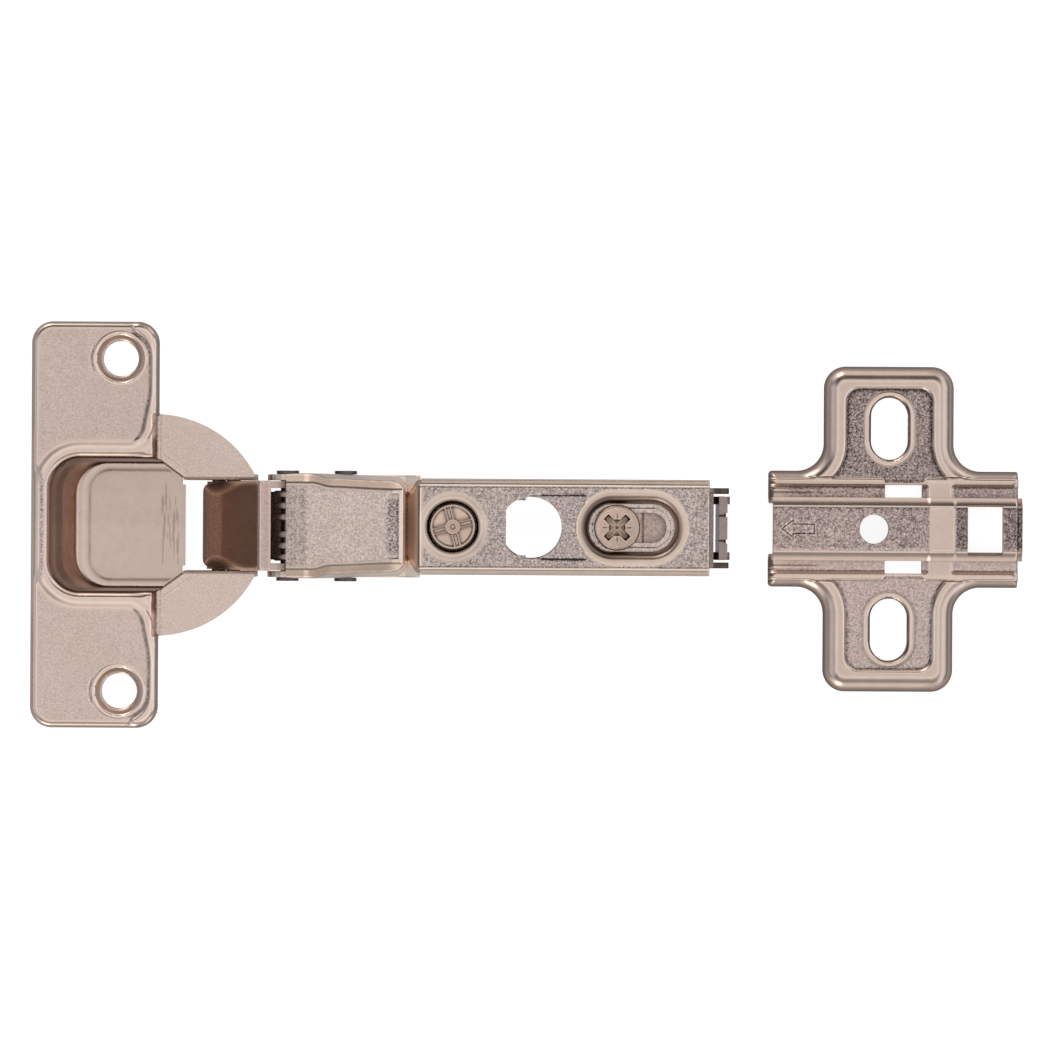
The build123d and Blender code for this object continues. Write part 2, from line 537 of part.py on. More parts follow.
# ---- screws, nut and carriage ----------------------------------------------------------------
def overlay_screw():
    """Side adjusting screw: slotted head, thread, neck and foot in the carriage's slot."""
    head_z = ARM_TOP_Z - OVERLAY_DISH_DEPTH + SIDE_CLEARANCE
    neck_top = CARRIAGE_TOP_Z + OVERLAY_TILT_LIFT + 0.15
    foot_top = CARRIAGE_TOP_Z - CARRIAGE_SHEET - OVERLAY_TILT_LIFT - 0.15
    place = Pos(OVERLAY_SCREW_X, 0, 0)
    head = place * Pos(0, 0, head_z + OVERLAY_HEAD_THICKNESS / 2) * Cylinder(
        OVERLAY_HEAD_R, OVERLAY_HEAD_THICKNESS)
    head = fillet(head.edges().group_by(Axis.Z)[-1], 0.3)
    shank = place * Pos(0, 0, (head_z + neck_top) / 2) * Cylinder(OVERLAY_SHANK_R, head_z - neck_top)
    neck = place * Pos(0, 0, (neck_top + foot_top) / 2) * Cylinder(OVERLAY_NECK_R, neck_top - foot_top)
    foot = place * Pos(0, 0, foot_top - 0.5) * Cylinder(OVERLAY_FOOT_R, 1.0)
    screw = head + shank + neck + foot
    # sunk face with a boss and four double ribs
    face_top = head_z + OVERLAY_HEAD_THICKNESS
    middle = Pos(0, 0, face_top - OVERLAY_FACE_DEPTH / 2)
    screw -= place * middle * Cylinder(OVERLAY_FACE_R, OVERLAY_FACE_DEPTH)
    screw += place * middle * Cylinder(OVERLAY_BOSS_R, OVERLAY_FACE_DEPTH)
    rib_width, rib_offset = OVERLAY_RIB
    for angle in (15, 105):
        for y in (-rib_offset, rib_offset):
            screw += place * middle * Rot(0, 0, angle) * Pos(0, y, 0) * Box(
                2 * OVERLAY_FACE_R + 0.2, rib_width, OVERLAY_FACE_DEPTH)
    return screw


def depth_screw():
    """Depth locking screw: domed cross-recessed head on a plain shank."""
    head_z = ARM_TOP_Z - RECESS_DEPTH + 0.05
    place = Pos(DEPTH_SCREW_X, 0, 0)
    head = place * Pos(0, 0, head_z + DEPTH_HEAD_THICKNESS / 2) * Cylinder(
        DEPTH_HEAD_R, DEPTH_HEAD_THICKNESS)
    head = fillet(head.edges().group_by(Axis.Z)[-1], 0.9)
    length = 7.0
    shank = place * Pos(0, 0, head_z - length / 2) * Cylinder(DEPTH_SHANK_R, length)
    screw = head + shank
    for angle in (45, 135):
        screw -= place * Pos(0, 0, head_z + DEPTH_HEAD_THICKNESS) * Rot(0, 0, angle) * Box(*DEPTH_CROSS, 2.4)
    screw -= place * Pos(0, 0, head_z + DEPTH_HEAD_THICKNESS - 0.6) * Cone(0.5, 1.2, 1.3)
    return screw


def depth_nut():
    """Square clamp nut that holds the depth screw and rocks in the carriage's window."""
    top = ARM_TOP_Z - RECESS_DEPTH - ARM_SHEET - 0.05
    flange_top = CARRIAGE_TOP_Z - CARRIAGE_SHEET - NUT_CLEARANCE
    place = Pos(DEPTH_SCREW_X, 0, 0)
    nut = place * Pos(0, 0, (top + flange_top) / 2) * Box(
        2 * NUT_HALF_SIZE, 2 * NUT_HALF_SIZE, top - flange_top)
    wide = 2 * (NUT_HALF_SIZE + NUT_FLANGE)
    nut += place * Pos(0, 0, flange_top - 0.9) * Box(wide, wide, 1.8)
    nut -= place * Cylinder(DEPTH_SHANK_R + THREAD_CLEARANCE, 40)
    return nut


def clip_carriage():
    """Inner channel that clips over the mounting plate and carries the arm."""
    body = u_channel(CARRIAGE_HALF_WIDTH, CARRIAGE_TOP_Z, CARRIAGE_BOTTOM_Z, CARRIAGE_SHEET, 1.2,
                     CARRIAGE_START_X, CARRIAGE_END_X)
    prong = Pos((CARRIAGE_END_X + CARRIAGE_PRONG_END_X) / 2 - 0.5, 2.2) * Rectangle(
        CARRIAGE_PRONG_END_X - CARRIAGE_END_X + 1, 4.4)
    prong = fillet(prong.vertices().group_by(Axis.X)[-1], 0.8)
    body += slab_pair(prong, CARRIAGE_HALF_WIDTH - CARRIAGE_SHEET, CARRIAGE_HALF_WIDTH)
    # neck slot of the overlay screw
    neck = OVERLAY_NECK_R + 0.2
    left = OVERLAY_SCREW_X - DEPTH_TRAVEL_IN - neck
    right = OVERLAY_SCREW_X + DEPTH_TRAVEL_OUT + neck
    slot = Pos((left + right) / 2, 0) * SlotOverall(right - left, 2 * neck)
    body -= extrude(Pos(0, 0, CARRIAGE_TOP_Z - 2) * slot, amount=4)
    body -= Pos(ACCESS_HOLE_X, 0, CARRIAGE_TOP_Z) * Cylinder(ACCESS_HOLE_R, 4)
    hole = 2 * (NUT_HALF_SIZE + NUT_CLEARANCE)
    body -= Pos(DEPTH_SCREW_X, 0, CARRIAGE_TOP_Z) * Box(hole, hole, 4)
    # windows that catch the plate's rail in front, and the lever pin's holes behind
    window = Pos(CARRIAGE_START_X + 3.5, CARRIAGE_BOTTOM_Z + 2.2) * Rectangle(3.2, 1.6)
    body -= slab(window, -CUP_BORING, CUP_BORING)
    body -= cross_bar(LEVER_PIVOT, LEVER_PIN_R, CUP_BORING)
    return body


# ---- release lever ---------------------------------------------------------------------------
def release_lever():
    """Lever at the arm's rear that frees the catch from the mounting plate."""
    px, pz = LEVER_PIVOT
    front_x = LEVER_BACK_X - LEVER_BACK_THICKNESS
    back = Pos((front_x + LEVER_BACK_X) / 2, (LEVER_TOP_Z + LEVER_BOTTOM_Z) / 2) * Rectangle(
        LEVER_BACK_THICKNESS, LEVER_TOP_Z - LEVER_BOTTOM_Z)
    back = slab(back, -LEVER_HALF_WIDTH, LEVER_HALF_WIDTH)
    back = fillet(back.edges().filter_by(Axis.Z).group_by(Axis.X)[-1], 0.6)
    arm = strap(LEVER_PIVOT, (front_x + 0.6, pz - 2.5), 1.4) + disc(LEVER_PIVOT, LEVER_EYE_R)
    arm += make_face(Polyline((px + 1.5, LEVER_BOTTOM_Z), (front_x + 0.5, LEVER_BOTTOM_Z),
                              (front_x + 0.5, LEVER_BOTTOM_Z + 3.2), close=True))
    arm -= disc(LEVER_PIVOT, LEVER_PIN_R + PIN_HOLE_CLEARANCE)
    arms = slab_pair(arm, LEVER_HALF_WIDTH - LEVER_SHEET, LEVER_HALF_WIDTH)
    body = back + arms
    for y in (-2.05, 2.05):
        body -= Pos(LEVER_BACK_X, y, LEVER_TOP_Z - 2) * Box(1.2, 0.6, 5)
    return body


def lever_pin():
    """Cross pin of the release lever."""
    return cross_bar(LEVER_PIVOT, LEVER_PIN_R, CARRIAGE_HALF_WIDTH)


# ---- springs ---------------------------------------------------------------------------------
def coil(centre, mean_r, wire_r, pitch, turns, y_start):
    """A coil around an axis along Y, starting and ending at the top."""
    path = Helix(pitch=pitch, height=pitch * turns, radius=mean_r)
    section = Plane(origin=path @ 0, z_dir=path % 0) * Circle(wire_r)
    place = Pos(centre[0], y_start, centre[1]) * Rot(-90, 0, 0) * Rot(0, 0, -90)
    return place * sweep(section, path=path)


def closing_spring():
    """Double torsion spring around the front arm pin: two coils and the bridge that joins them."""
    wire, mean = SPRING_WIRE_R, SPRING_MEAN_R
    y_end = OUTER_LINK_HALF_WIDTH - LINK_SHEET - wire - 2 * SIDE_CLEARANCE
    y_start = y_end - SPRING_PITCH * SPRING_TURNS
    x_axis, z_top = ARM_FRONT_PIVOT[0], ARM_FRONT_PIVOT[1] + mean
    right = coil(ARM_FRONT_PIVOT, mean, wire, SPRING_PITCH, SPRING_TURNS, y_start)
    start, end = x_axis - 0.4, x_axis + SPRING_BRIDGE
    corners = [(start, y_start, z_top), (end, y_start, z_top), (end, -y_start, z_top),
               (start, -y_start, z_top)]
    path = FilletPolyline(*corners, radius=1.0)
    section = Plane(origin=path @ 0, z_dir=path % 0) * Circle(wire - SPRING_JOINT)
    bridge = sweep(section, path=path)
    return bridge + right + mirror(right, about=Plane.XZ)


def lever_spring():
    """Torsion spring round the lever's pin."""
    length = LEVER_SPRING_PITCH * LEVER_SPRING_TURNS
    return coil(LEVER_PIVOT, LEVER_SPRING_MEAN_R, LEVER_SPRING_WIRE_R, LEVER_SPRING_PITCH,
                LEVER_SPRING_TURNS, -length / 2)


# ---- mounting plate --------------------------------------------------------------------------
def plate_plan():
    """Cross-shaped plan with flared inner corners."""
    length_box = Pos(PLATE_START_X + PLATE_LENGTH / 2, 0) * Rectangle(
        PLATE_LENGTH, 2 * PLATE_BODY_HALF_WIDTH)
    wing_box = Pos(PLATE_SLOT_X, 0) * Rectangle(PLATE_WING_WIDTH, 2 * PLATE_WING_REACH)
    plan = length_box + wing_box
    corners = plan.vertices().filter_by(
        lambda v: abs(abs(v.Y) - PLATE_BODY_HALF_WIDTH) < 0.01
        and abs(abs(v.X - PLATE_SLOT_X) - PLATE_WING_WIDTH / 2) < 0.01)
    plan = fillet(corners, PLATE_FLARE_R)
    tips = plan.vertices().filter_by(lambda v: abs(abs(v.Y) - PLATE_WING_REACH) < 0.01)
    return fillet(tips, PLATE_WING_CORNER_R)


def mounting_plate():
    """Cross-shaped mounting plate with a raised rail for the clip carriage."""
    base = FLOOR_Z
    body = extrude(Pos(0, 0, base) * plate_plan(), amount=PLATE_RIM_HEIGHT)
    # pockets in the wings
    for side in (-1, 1):
        inner_y = PLATE_BODY_HALF_WIDTH + 0.2
        outer_y = PLATE_WING_REACH - PLATE_RIM_WIDTH
        pocket = Pos(PLATE_SLOT_X, side * (inner_y + outer_y) / 2) * RectangleRounded(
            PLATE_WING_WIDTH - 2 * PLATE_RIM_WIDTH, outer_y - inner_y, PLATE_POCKET_CORNER_R)
        body -= extrude(Pos(0, 0, base + PLATE_SHEET) * pocket, amount=5)
        slot = Pos(PLATE_SLOT_X, side * PLATE_SLOT_SPACING / 2) * Rot(0, 0, 90)
        collar = slot * SlotOverall(PLATE_SLOT_LENGTH + 2 * PLATE_COLLAR,
                                    2 * (PLATE_SLOT_R + PLATE_COLLAR))
        collar = extrude(Pos(0, 0, base) * collar, amount=PLATE_SHEET + PLATE_COLLAR_RISE)
        body += fillet(collar.edges().group_by(Axis.Z)[-1], PLATE_COLLAR_RISE * 0.6)
        hole = slot * SlotOverall(PLATE_SLOT_LENGTH, 2 * PLATE_SLOT_R)
        body -= extrude(Pos(0, 0, base - 1) * hole, amount=6)
        # groove beside the rail, on both sides of the step
        groove_y = side * (PLATE_RAIL_HALF_WIDTH + PLATE_GROOVE_WIDTH / 2)
        for start, end in ((PLATE_START_X, PLATE_STEP_X[0]),
                           (PLATE_STEP_X[1], PLATE_START_X + PLATE_LENGTH)):
            body -= Pos((start + end) / 2, groove_y, base + PLATE_RIM_HEIGHT) * Box(
                end - start, PLATE_GROOVE_WIDTH, 2 * PLATE_GROOVE_DEPTH)
    # rail
    flat, half = PLATE_RAIL_FLAT, PLATE_RAIL_HALF_WIDTH
    top, low = PLATE_RAIL_HEIGHT, PLATE_RAIL_HEIGHT - 0.9
    outline = make_face(Polyline((-half, 0), (-half, low), (-flat, top), (flat, top), (half, low),
                                 (half, 0), close=True))
    rail = Plane.YZ.offset(PLATE_START_X) * Pos(0, base) * outline
    body += extrude(rail, amount=PLATE_LENGTH)
    step_length = PLATE_STEP_X[1] - PLATE_STEP_X[0]
    body += Pos(PLATE_STEP_X[0] + step_length / 2, 0, base + top) * Box(
        step_length, 2 * flat, 2 * PLATE_STEP_RISE)
    sheet = PLATE_SHEET
    hollow = make_face(Polyline(
        (-half + sheet, 0), (-half + sheet, low - 0.6), (-flat + 0.4, top - sheet),
        (flat - 0.4, top - sheet), (half - sheet, low - 0.6), (half - sheet, 0), close=True))
    body -= extrude(Plane.YZ.offset(PLATE_START_X - 1) * Pos(0, base) * hollow,
                    amount=PLATE_LENGTH + 2)
    body -= Pos(PLATE_CENTRE_HOLE_X, 0, base) * Cylinder(PLATE_CENTRE_HOLE_R, 20)
    for side in (-1, 1):
        body -= Pos(SIDE_WINDOW_X, side * SIDE_WINDOW_Y, base) * Box(*SIDE_WINDOW_SIZE, 20)
    rear_window_x = PLATE_START_X + PLATE_LENGTH - REAR_WINDOW_FROM_END
    body -= Pos(rear_window_x, 0, base) * Box(*REAR_WINDOW_SIZE, 20)
    return body


PARTS = {
    "hinge_cup": hinge_cup,
    "outer_cup_pin": lambda: cup_pin(CUP_OUTER_PIVOT),
    "inner_cup_pin": lambda: cup_pin(CUP_INNER_PIVOT),
    "outer_link": outer_link,
    "inner_link": inner_link,
    "hinge_arm": hinge_arm,
    "arm_front_pin": arm_front_pin,
    "arm_rear_pin": arm_rear_pin,
    "closing_spring": closing_spring,
    "overlay_screw": overlay_screw,
    "depth_screw": depth_screw,
    "depth_nut": depth_nut,
    "clip_carriage": clip_carriage,
    "release_lever": release_lever,
    "lever_pin": lever_pin,
    "lever_spring": lever_spring,
    "mounting_plate": mounting_plate,
}

for name, make in PARTS.items():
    export_step(make(), f"parts/{name}.step")
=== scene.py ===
from functools import reduce
from math import cos, pi, radians, sin

import bpy
import numpy as np
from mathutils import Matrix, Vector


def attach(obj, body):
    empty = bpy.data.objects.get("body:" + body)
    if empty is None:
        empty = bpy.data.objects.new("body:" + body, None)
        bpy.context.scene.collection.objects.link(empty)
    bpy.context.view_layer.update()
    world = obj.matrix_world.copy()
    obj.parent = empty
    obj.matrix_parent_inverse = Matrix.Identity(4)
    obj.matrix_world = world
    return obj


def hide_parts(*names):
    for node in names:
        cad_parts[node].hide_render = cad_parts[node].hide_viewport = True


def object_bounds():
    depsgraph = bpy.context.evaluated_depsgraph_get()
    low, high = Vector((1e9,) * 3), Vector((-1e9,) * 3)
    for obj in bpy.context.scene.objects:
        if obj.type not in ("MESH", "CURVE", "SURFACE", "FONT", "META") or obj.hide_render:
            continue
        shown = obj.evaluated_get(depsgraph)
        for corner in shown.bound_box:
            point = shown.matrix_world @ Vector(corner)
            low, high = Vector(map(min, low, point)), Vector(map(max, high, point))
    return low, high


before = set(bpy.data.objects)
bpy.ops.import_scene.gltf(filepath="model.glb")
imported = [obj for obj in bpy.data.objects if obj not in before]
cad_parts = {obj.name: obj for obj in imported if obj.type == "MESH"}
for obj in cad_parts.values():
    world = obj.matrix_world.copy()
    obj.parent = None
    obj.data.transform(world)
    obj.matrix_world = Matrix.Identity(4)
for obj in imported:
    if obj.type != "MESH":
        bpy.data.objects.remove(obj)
cad_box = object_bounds()
scene = bpy.context.scene
MM = 0.001


def operator(operation, swapped=False):
    """A method of Sock that adds one maths node."""
    def method(self, other):
        first, second = (other, self) if swapped else (self, other)
        return self.tree.node("ShaderNodeMath", {"operation": operation}, first, second)
    return method


class Sock:
    """A node's output that takes part in Python arithmetic."""

    __add__, __radd__ = operator("ADD"), operator("ADD", swapped=True)
    __sub__, __rsub__ = operator("SUBTRACT"), operator("SUBTRACT", swapped=True)
    __mul__ = operator("MULTIPLY")
    low, high = operator("MINIMUM"), operator("MAXIMUM")

    def __init__(self, tree, socket):
        self.tree, self.socket = tree, socket

    def __abs__(self):
        return self.tree.node("ShaderNodeMath", {"operation": "ABSOLUTE"}, self)

    def step(self, start, end):
        """Rises smoothly from 0 at start to 1 at end."""
        settings = {"interpolation_type": "SMOOTHSTEP", "clamp": True}
        return self.tree.node("ShaderNodeMapRange", settings, self, start, end, 0.0, 1.0)


class Tree:
    """A node tree written as calls; each call returns its node's output."""

    def __init__(self, tree):
        self.tree = tree

    def node(self, kind, settings, *values, out=0, **named):
        """Inputs are given in order, or by name, or by number as in _6."""
        made = self.tree.nodes.new(kind)
        for key, value in settings.items():
            setattr(made, key, value)
        for socket, value in zip(made.inputs, values):
            self.put(socket, value)
        for key, value in named.items():
            place = int(key[1:]) if key[0] == "_" else key.replace("_", " ")
            self.put(made.inputs[place], value)
        return Sock(self, made.outputs[out])

    def put(self, socket, value):
        for one in value if isinstance(value, list) else [value]:
            if isinstance(one, Sock):
                self.tree.links.new(one.socket, socket)
            else:
                socket.default_value = one


class Finish(Tree):
    """The look of a material or of the world."""

    def __init__(self, owner, shader="Principled BSDF"):
        owner.use_nodes = True
        super().__init__(owner.node_tree)
        self.owner, self.inputs = owner, self.tree.nodes[shader].inputs

    def place(self):
        return self.node("ShaderNodeTexCoord", {}, out="Object")

    def part(self, vector, axis):
        return self.node("ShaderNodeSeparateXYZ", {}, vector, out=axis)

    def noise(self, scale, detail, roughness):
        return self.node("ShaderNodeTexNoise", {}, out="Fac", Vector=self.place(), Scale=scale,
                         Detail=detail, Roughness=roughness)

    def mix(self, factor, first, second, blend="MIX"):
        return self.node("ShaderNodeMix", {"data_type": "RGBA", "blend_type": blend}, out=2,
                         _0=factor, _6=first, _7=second)

    def scale(self, colour, factor):
        """A colour made lighter or darker."""
        return self.mix(1.0, colour, factor, "MULTIPLY")

    def attribute(self, name):
        return self.node("ShaderNodeAttribute", {"attribute_name": name}, out="Fac")

    def bump(self, height, distance, strength):
        return self.node("ShaderNodeBump", {}, out="Normal", Height=height, Distance=distance,
                         Strength=strength)

    def set(self, **values):
        for key, value in values.items():
            self.put(self.inputs[key.replace("_", " ")], value)
        return self.owner


def most(*fields):
    """The largest of several fields, point by point."""
    return reduce(np.maximum, fields)


def least(*fields):
    return reduce(np.minimum, fields)


def axis_points(start, *spans):
    """Grid lines along one axis: from start, then spans of (end, step), in millimetres."""
    lines = []
    for end, step in spans:
        count = max(1, round((end - start) / step))
        lines.extend(np.linspace(start, end, count + 1)[:-1])
        start = end
    return np.array(lines + [start])


def mirrored_points(*spans):
    """Grid lines on both sides of zero, from the spans of one side."""
    side = axis_points(*spans)
    return np.concatenate([-side[:0:-1], side])


def box_distance(x, y, x0, x1, y0, y1, r):
    """Signed distance to a rectangle with round corners, negative inside."""
    qx = abs(x - (x0 + x1) / 2) - (x1 - x0) / 2 + r
    qy = abs(y - (y0 + y1) / 2) - (y1 - y0) / 2 + r
    return np.hypot(most(qx, 0), most(qy, 0)) + least(most(qx, qy), 0) - r


def oval_distance(x, y, middle, half_length, half_width):
    """Signed distance to an oval with round ends along X, negative inside."""
    reach = half_length - half_width
    return np.hypot(most(abs(x - middle) - reach, 0), y) - half_width


def both_sides(a, b, radius):
    """Signed distance to what lies inside two shapes, its corner rounded."""
    return least(most(a, b), -radius) + np.hypot(
        most(a + radius, 0), most(b + radius, 0))


def ease(value, start, end):
    """Rises smoothly from 0 at start to 1 at end."""
    t = np.clip((value - start) / (end - start), 0, 1)
    return t * t * (3 - 2 * t)


def fade(value, start, end):
    """Falls smoothly from 1 at start to 0 at end."""
    return ease(-value, -end, -start)


def between(value, span, wide):
    """1 inside a span, with edges that are eased over `wide` on either side."""
    return ease(value, span[0] - wide, span[0] + wide) \
        * fade(value, span[1] - wide, span[1] + wide)


def hump(value, centre, half):
    """1 at the centre, falling smoothly to 0 at `half` from it."""
    t = np.clip(abs(value - centre) / half, 0, 1)
    return (1 + np.cos(pi * t)) / 2


def rounded_edge(inside, radius):
    """Drop of a rolled edge at a distance inside the outline; none further in."""
    t = np.clip(1 - inside / radius, 0, 1)
    return radius * (1 - np.sqrt(most(1 - t * t, 0)))


def cut_cells(sdf, xs, ys):
    """Plan mesh of the cells where sdf is negative, cut along its zero line."""
    small = 1e-6
    sdf = np.where(abs(sdf) < small, -small, sdf)
    inside = sdf < 0
    index = inside.cumsum().reshape(inside.shape) - 1
    gx, gy = np.meshgrid(xs, ys, indexing="ij")
    points = list(zip(gx[inside], gy[inside]))
    corners = (inside[:-1, :-1], inside[1:, :-1], inside[1:, 1:], inside[:-1, 1:])
    full = np.logical_and.reduce(corners)
    i, j = np.nonzero(full)
    quads = np.stack([index[i, j], index[i + 1, j], index[i + 1, j + 1], index[i, j + 1]], 1)
    faces = [tuple(q) for q in quads.tolist()]
    crossings = {}

    def crossing(a, b):
        key = (a, b) if a < b else (b, a)
        if key not in crossings:
            fa, fb = sdf[key[0]], sdf[key[1]]
            t = min(max(fa / (fa - fb), 0.02), 0.98)
            ax, ay = xs[key[0][0]], ys[key[0][1]]
            bx, by = xs[key[1][0]], ys[key[1][1]]
            crossings[key] = len(points)
            points.append((ax + (bx - ax) * t, ay + (by - ay) * t))
        return crossings[key]

    for i, j in zip(*np.nonzero(np.logical_or.reduce(corners) & ~full)):
        ring = [(i, j), (i + 1, j), (i + 1, j + 1), (i, j + 1)]
        polygon = []
        for here, after in zip(ring, ring[1:] + ring[:1]):
            if inside[here]:
                polygon.append(index[here])
            if inside[here] != inside[after]:
                polygon.append(crossing(here, after))
        if len(polygon) > 2:
            faces.append(tuple(polygon))
    return np.array(points), faces


def slopes(height, x, y, reach):
    """How fast a surface climbs along X and along Y."""
    return ((height(x + reach, y) - height(x - reach, y)) / (2 * reach),
            (height(x, y + reach) - height(x, y - reach)) / (2 * reach))


def pressing(xs, ys, outline, height, sheet, rim=None, spread=0.12, bottom=-99.0):
    """A pressed sheet: its top follows height(x, y) inside outline(x, y) < 0, its underside lies
    one sheet thickness below, and its edge is closed, down to rim(x, y) where that is given."""
    gx, gy = np.meshgrid(xs, ys, indexing="ij")
    plan, faces = cut_cells(outline(gx, gy), xs, ys)
    x, y = plan[:, 0], plan[:, 1]
    dx, dy = slopes(height, x, y, spread)
    length = np.sqrt(dx * dx + dy * dy + 1)
    top = np.stack([x, y, height(x, y)], 1)
    low = top - np.stack([-dx, -dy, np.ones_like(dx)], 1) / length[:, None] * sheet
    low[:, 2] = most(low[:, 2], bottom)
    count = len(top)
    sides = dict.fromkeys(side for face in faces for side in zip(face, face[1:] + face[:1]))
    edges = [(a, b) for a, b in sides if (b, a) not in sides]
    vertices = [top, low]
    all_faces = faces + [tuple(v + count for v in reversed(f)) for f in faces]
    if rim is None:
        all_faces += [(b, a, a + count, b + count) for a, b in edges]
    else:
        border = sorted({v for edge in edges for v in edge})
        place = {v: k for k, v in enumerate(border)}
        edge_points, low_points = top[border], low[border]
        edge_points[:, 2] = least(rim(*edge_points[:, :2].T), edge_points[:, 2] - 0.01)
        low_points[:, 2] = edge_points[:, 2]
        vertices += [edge_points, low_points]
        n = len(border)
        for a, b in edges:
            pa, pb = 2 * count + place[a], 2 * count + place[b]
            all_faces += [(b, a, pa, pb), (pb, pa, pa + n, pb + n),
                          (pb + n, pa + n, a + count, b + count)]
    return np.concatenate(vertices), all_faces


def curl(height, x, y, reach=0.22):
    """How far a surface curves: above zero in creases, below it on crests, none on a wall."""
    right, left = height(x + reach, y), height(x - reach, y)
    far, near = height(x, y + reach), height(x, y - reach)
    slope = np.hypot(right - left, far - near) / (2 * reach)
    bend = ((right + left + far + near) / 4 - height(x, y)) / reach * 5
    return np.clip(bend, -1, 1) * fade(slope, 2.0, 4.0)


def steepness(height, x, y):
    """From 0 on a flat or a gentle slope to 1 on a steep pressed wall."""
    return ease(np.hypot(*slopes(height, x, y, 0.1)), 0.55, 1.9)


def around(count):
    """Each number of a ring with the one after it."""
    return [(k, (k + 1) % count) for k in range(count)]


def lathe(profile, centre_x, segments):
    """A turned solid about Z: profile is (radius, z) from the top centre to the bottom centre."""
    ring = [(cos(2 * pi * k / segments), sin(2 * pi * k / segments)) for k in range(segments)]
    verts = [(centre_x, 0, profile[0][1])]
    for radius, z in profile[1:-1]:
        verts += [(centre_x + radius * c, radius * s, z) for c, s in ring]
    verts.append((centre_x, 0, profile[-1][1]))
    faces = [(0, 1 + k, 1 + after) for k, after in around(segments)]
    last = len(verts) - 1
    for a in range(1, last - segments, segments):
        b = a + segments
        faces += [(a + k, b + k, b + after, a + after) for k, after in around(segments)]
    a = last - segments
    faces += [(a + after, a + k, last) for k, after in around(segments)]
    return np.array(verts), faces


def arc(centre, radius, degrees):
    """Points on a circle of the side view."""
    return [(centre[0] + radius * cos(radians(a)), centre[1] + radius * sin(radians(a)))
            for a in degrees]


def side_plates(outline, inner, outer):
    """Two plates whose side view is given as (x, z) points, from `inner` to `outer` either side
    of the middle."""
    n = len(outline)
    faces = [tuple(range(n)), tuple(range(2 * n - 1, n - 1, -1))]
    faces += [(i, i + n, after + n, after) for i, after in around(n)]
    return [(np.array([(x, y, z) for y in ends for x, z in outline]), faces)
            for ends in ((inner, outer), (-outer, -inner))]


def make_piece(name, body, replaces, finish, *shells, smooth=35, relief=None, **paints):
    """Joins shells of (vertices in mm, faces) into one object that rides on a body. Paints are
    functions of x and y that its finish reads, and relief is the height whose curl it reads."""
    vertices, faces = np.zeros((0, 3)), []
    for verts, polys in shells:
        faces += [tuple(v + len(vertices) for v in poly) for poly in polys]
        vertices = np.concatenate([vertices, verts])
    mesh = bpy.data.meshes.new(name)
    mesh.from_pydata((vertices * MM).tolist(), [], faces)
    mesh.validate()
    mesh.update()
    piece = bpy.data.objects.new(name, mesh)
    scene.collection.objects.link(piece)
    mesh.shade_smooth()
    mesh.set_sharp_from_angle(angle=radians(smooth))
    mesh.materials.append(finish)
    x, y = vertices[:, :2].T
    fields = {key: paint(x, y) for key, paint in paints.items()}
    if relief:
        fields["relief"] = curl(relief, x, y)
    for key, values in fields.items():
        field = mesh.attributes.new(key, "FLOAT", "POINT")
        field.data.foreach_set("value", values.astype(np.float32))
    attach(piece, body)
    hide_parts(*replaces)
    return piece


class Grower(Tree):
    """A Geometry Nodes tree that grows the repeats of a piece."""

    def __init__(self, name, **inputs):
        super().__init__(bpy.data.node_groups.new(name, "GeometryNodeTree"))
        face, self.values = self.tree.interface, {}
        face.new_socket("Geometry", in_out="OUTPUT", socket_type="NodeSocketGeometry")
        for key, value in inputs.items():
            kind = {float: "Float", int: "Int"}.get(type(value), "Material")
            made = face.new_socket(key, in_out="INPUT", socket_type="NodeSocket" + kind)
            self.values[made.identifier] = value
        given = self.tree.nodes.new("NodeGroupInput")
        self.given = [Sock(self, given.outputs[key]) for key in inputs]

    def add(self, kind, settings=None, *values, **named):
        family = next(family for family in ("GeometryNode", "FunctionNode", "ShaderNode")
                      if hasattr(bpy.types, family + kind))
        return self.node(family + kind, settings or {}, *values, **named)

    def move(self, geometry, shift=(0, 0, 0), turn=(0, 0, 0), scale=(1, 1, 1)):
        return self.add("Transform", Geometry=geometry, Translation=shift, Rotation=turn,
                        Scale=scale)

    def close(self, geometry, finish):
        """Ends the tree and returns the mesh that it grows as a shell for make_piece."""
        real = self.add("RealizeInstances", Geometry=geometry)
        done = self.add("SetMaterial", Geometry=real, Material=finish)
        self.put(self.tree.nodes.new("NodeGroupOutput").inputs[0], done)
        seed = bpy.data.objects.new("seed", bpy.data.meshes.new("seed"))
        scene.collection.objects.link(seed)
        modifier = seed.modifiers.new("grow", "NODES")
        modifier.node_group = self.tree
        for key, value in self.values.items():
            modifier[key] = value
        grown = seed.evaluated_get(bpy.context.evaluated_depsgraph_get())
        mesh = bpy.data.meshes.new_from_object(grown)
        bpy.data.objects.remove(seed)
        verts = np.empty(len(mesh.vertices) * 3)
        mesh.vertices.foreach_get("co", verts)
        return verts.reshape(-1, 3), [tuple(p.vertices) for p in mesh.polygons]


def tube(points, radius, sides=14):
    """A closed round bar through points, in millimetres."""
    points = np.array(points, float)
    along = np.gradient(points, axis=0)
    along /= np.linalg.norm(along, axis=1)[:, None]
    side = np.cross(along, (0.31, 0.17, 0.93))  # any direction that no bar runs along
    side /= np.linalg.norm(side, axis=1)[:, None]
    up = np.cross(side, along)
    turn = 2 * pi * np.arange(sides) / sides
    rings = points[:, None] + radius * (np.cos(turn)[:, None] * side[:, None]
                                        + np.sin(turn)[:, None] * up[:, None])
    last = (len(points) - 1) * sides
    faces = [(a + k, a + after, a + sides + after, a + sides + k)
             for a in range(0, last, sides) for k, after in around(sides)]
    faces += [tuple(range(sides - 1, -1, -1)), tuple(range(last, last + sides))]
    return rings.reshape(-1, 3), faces


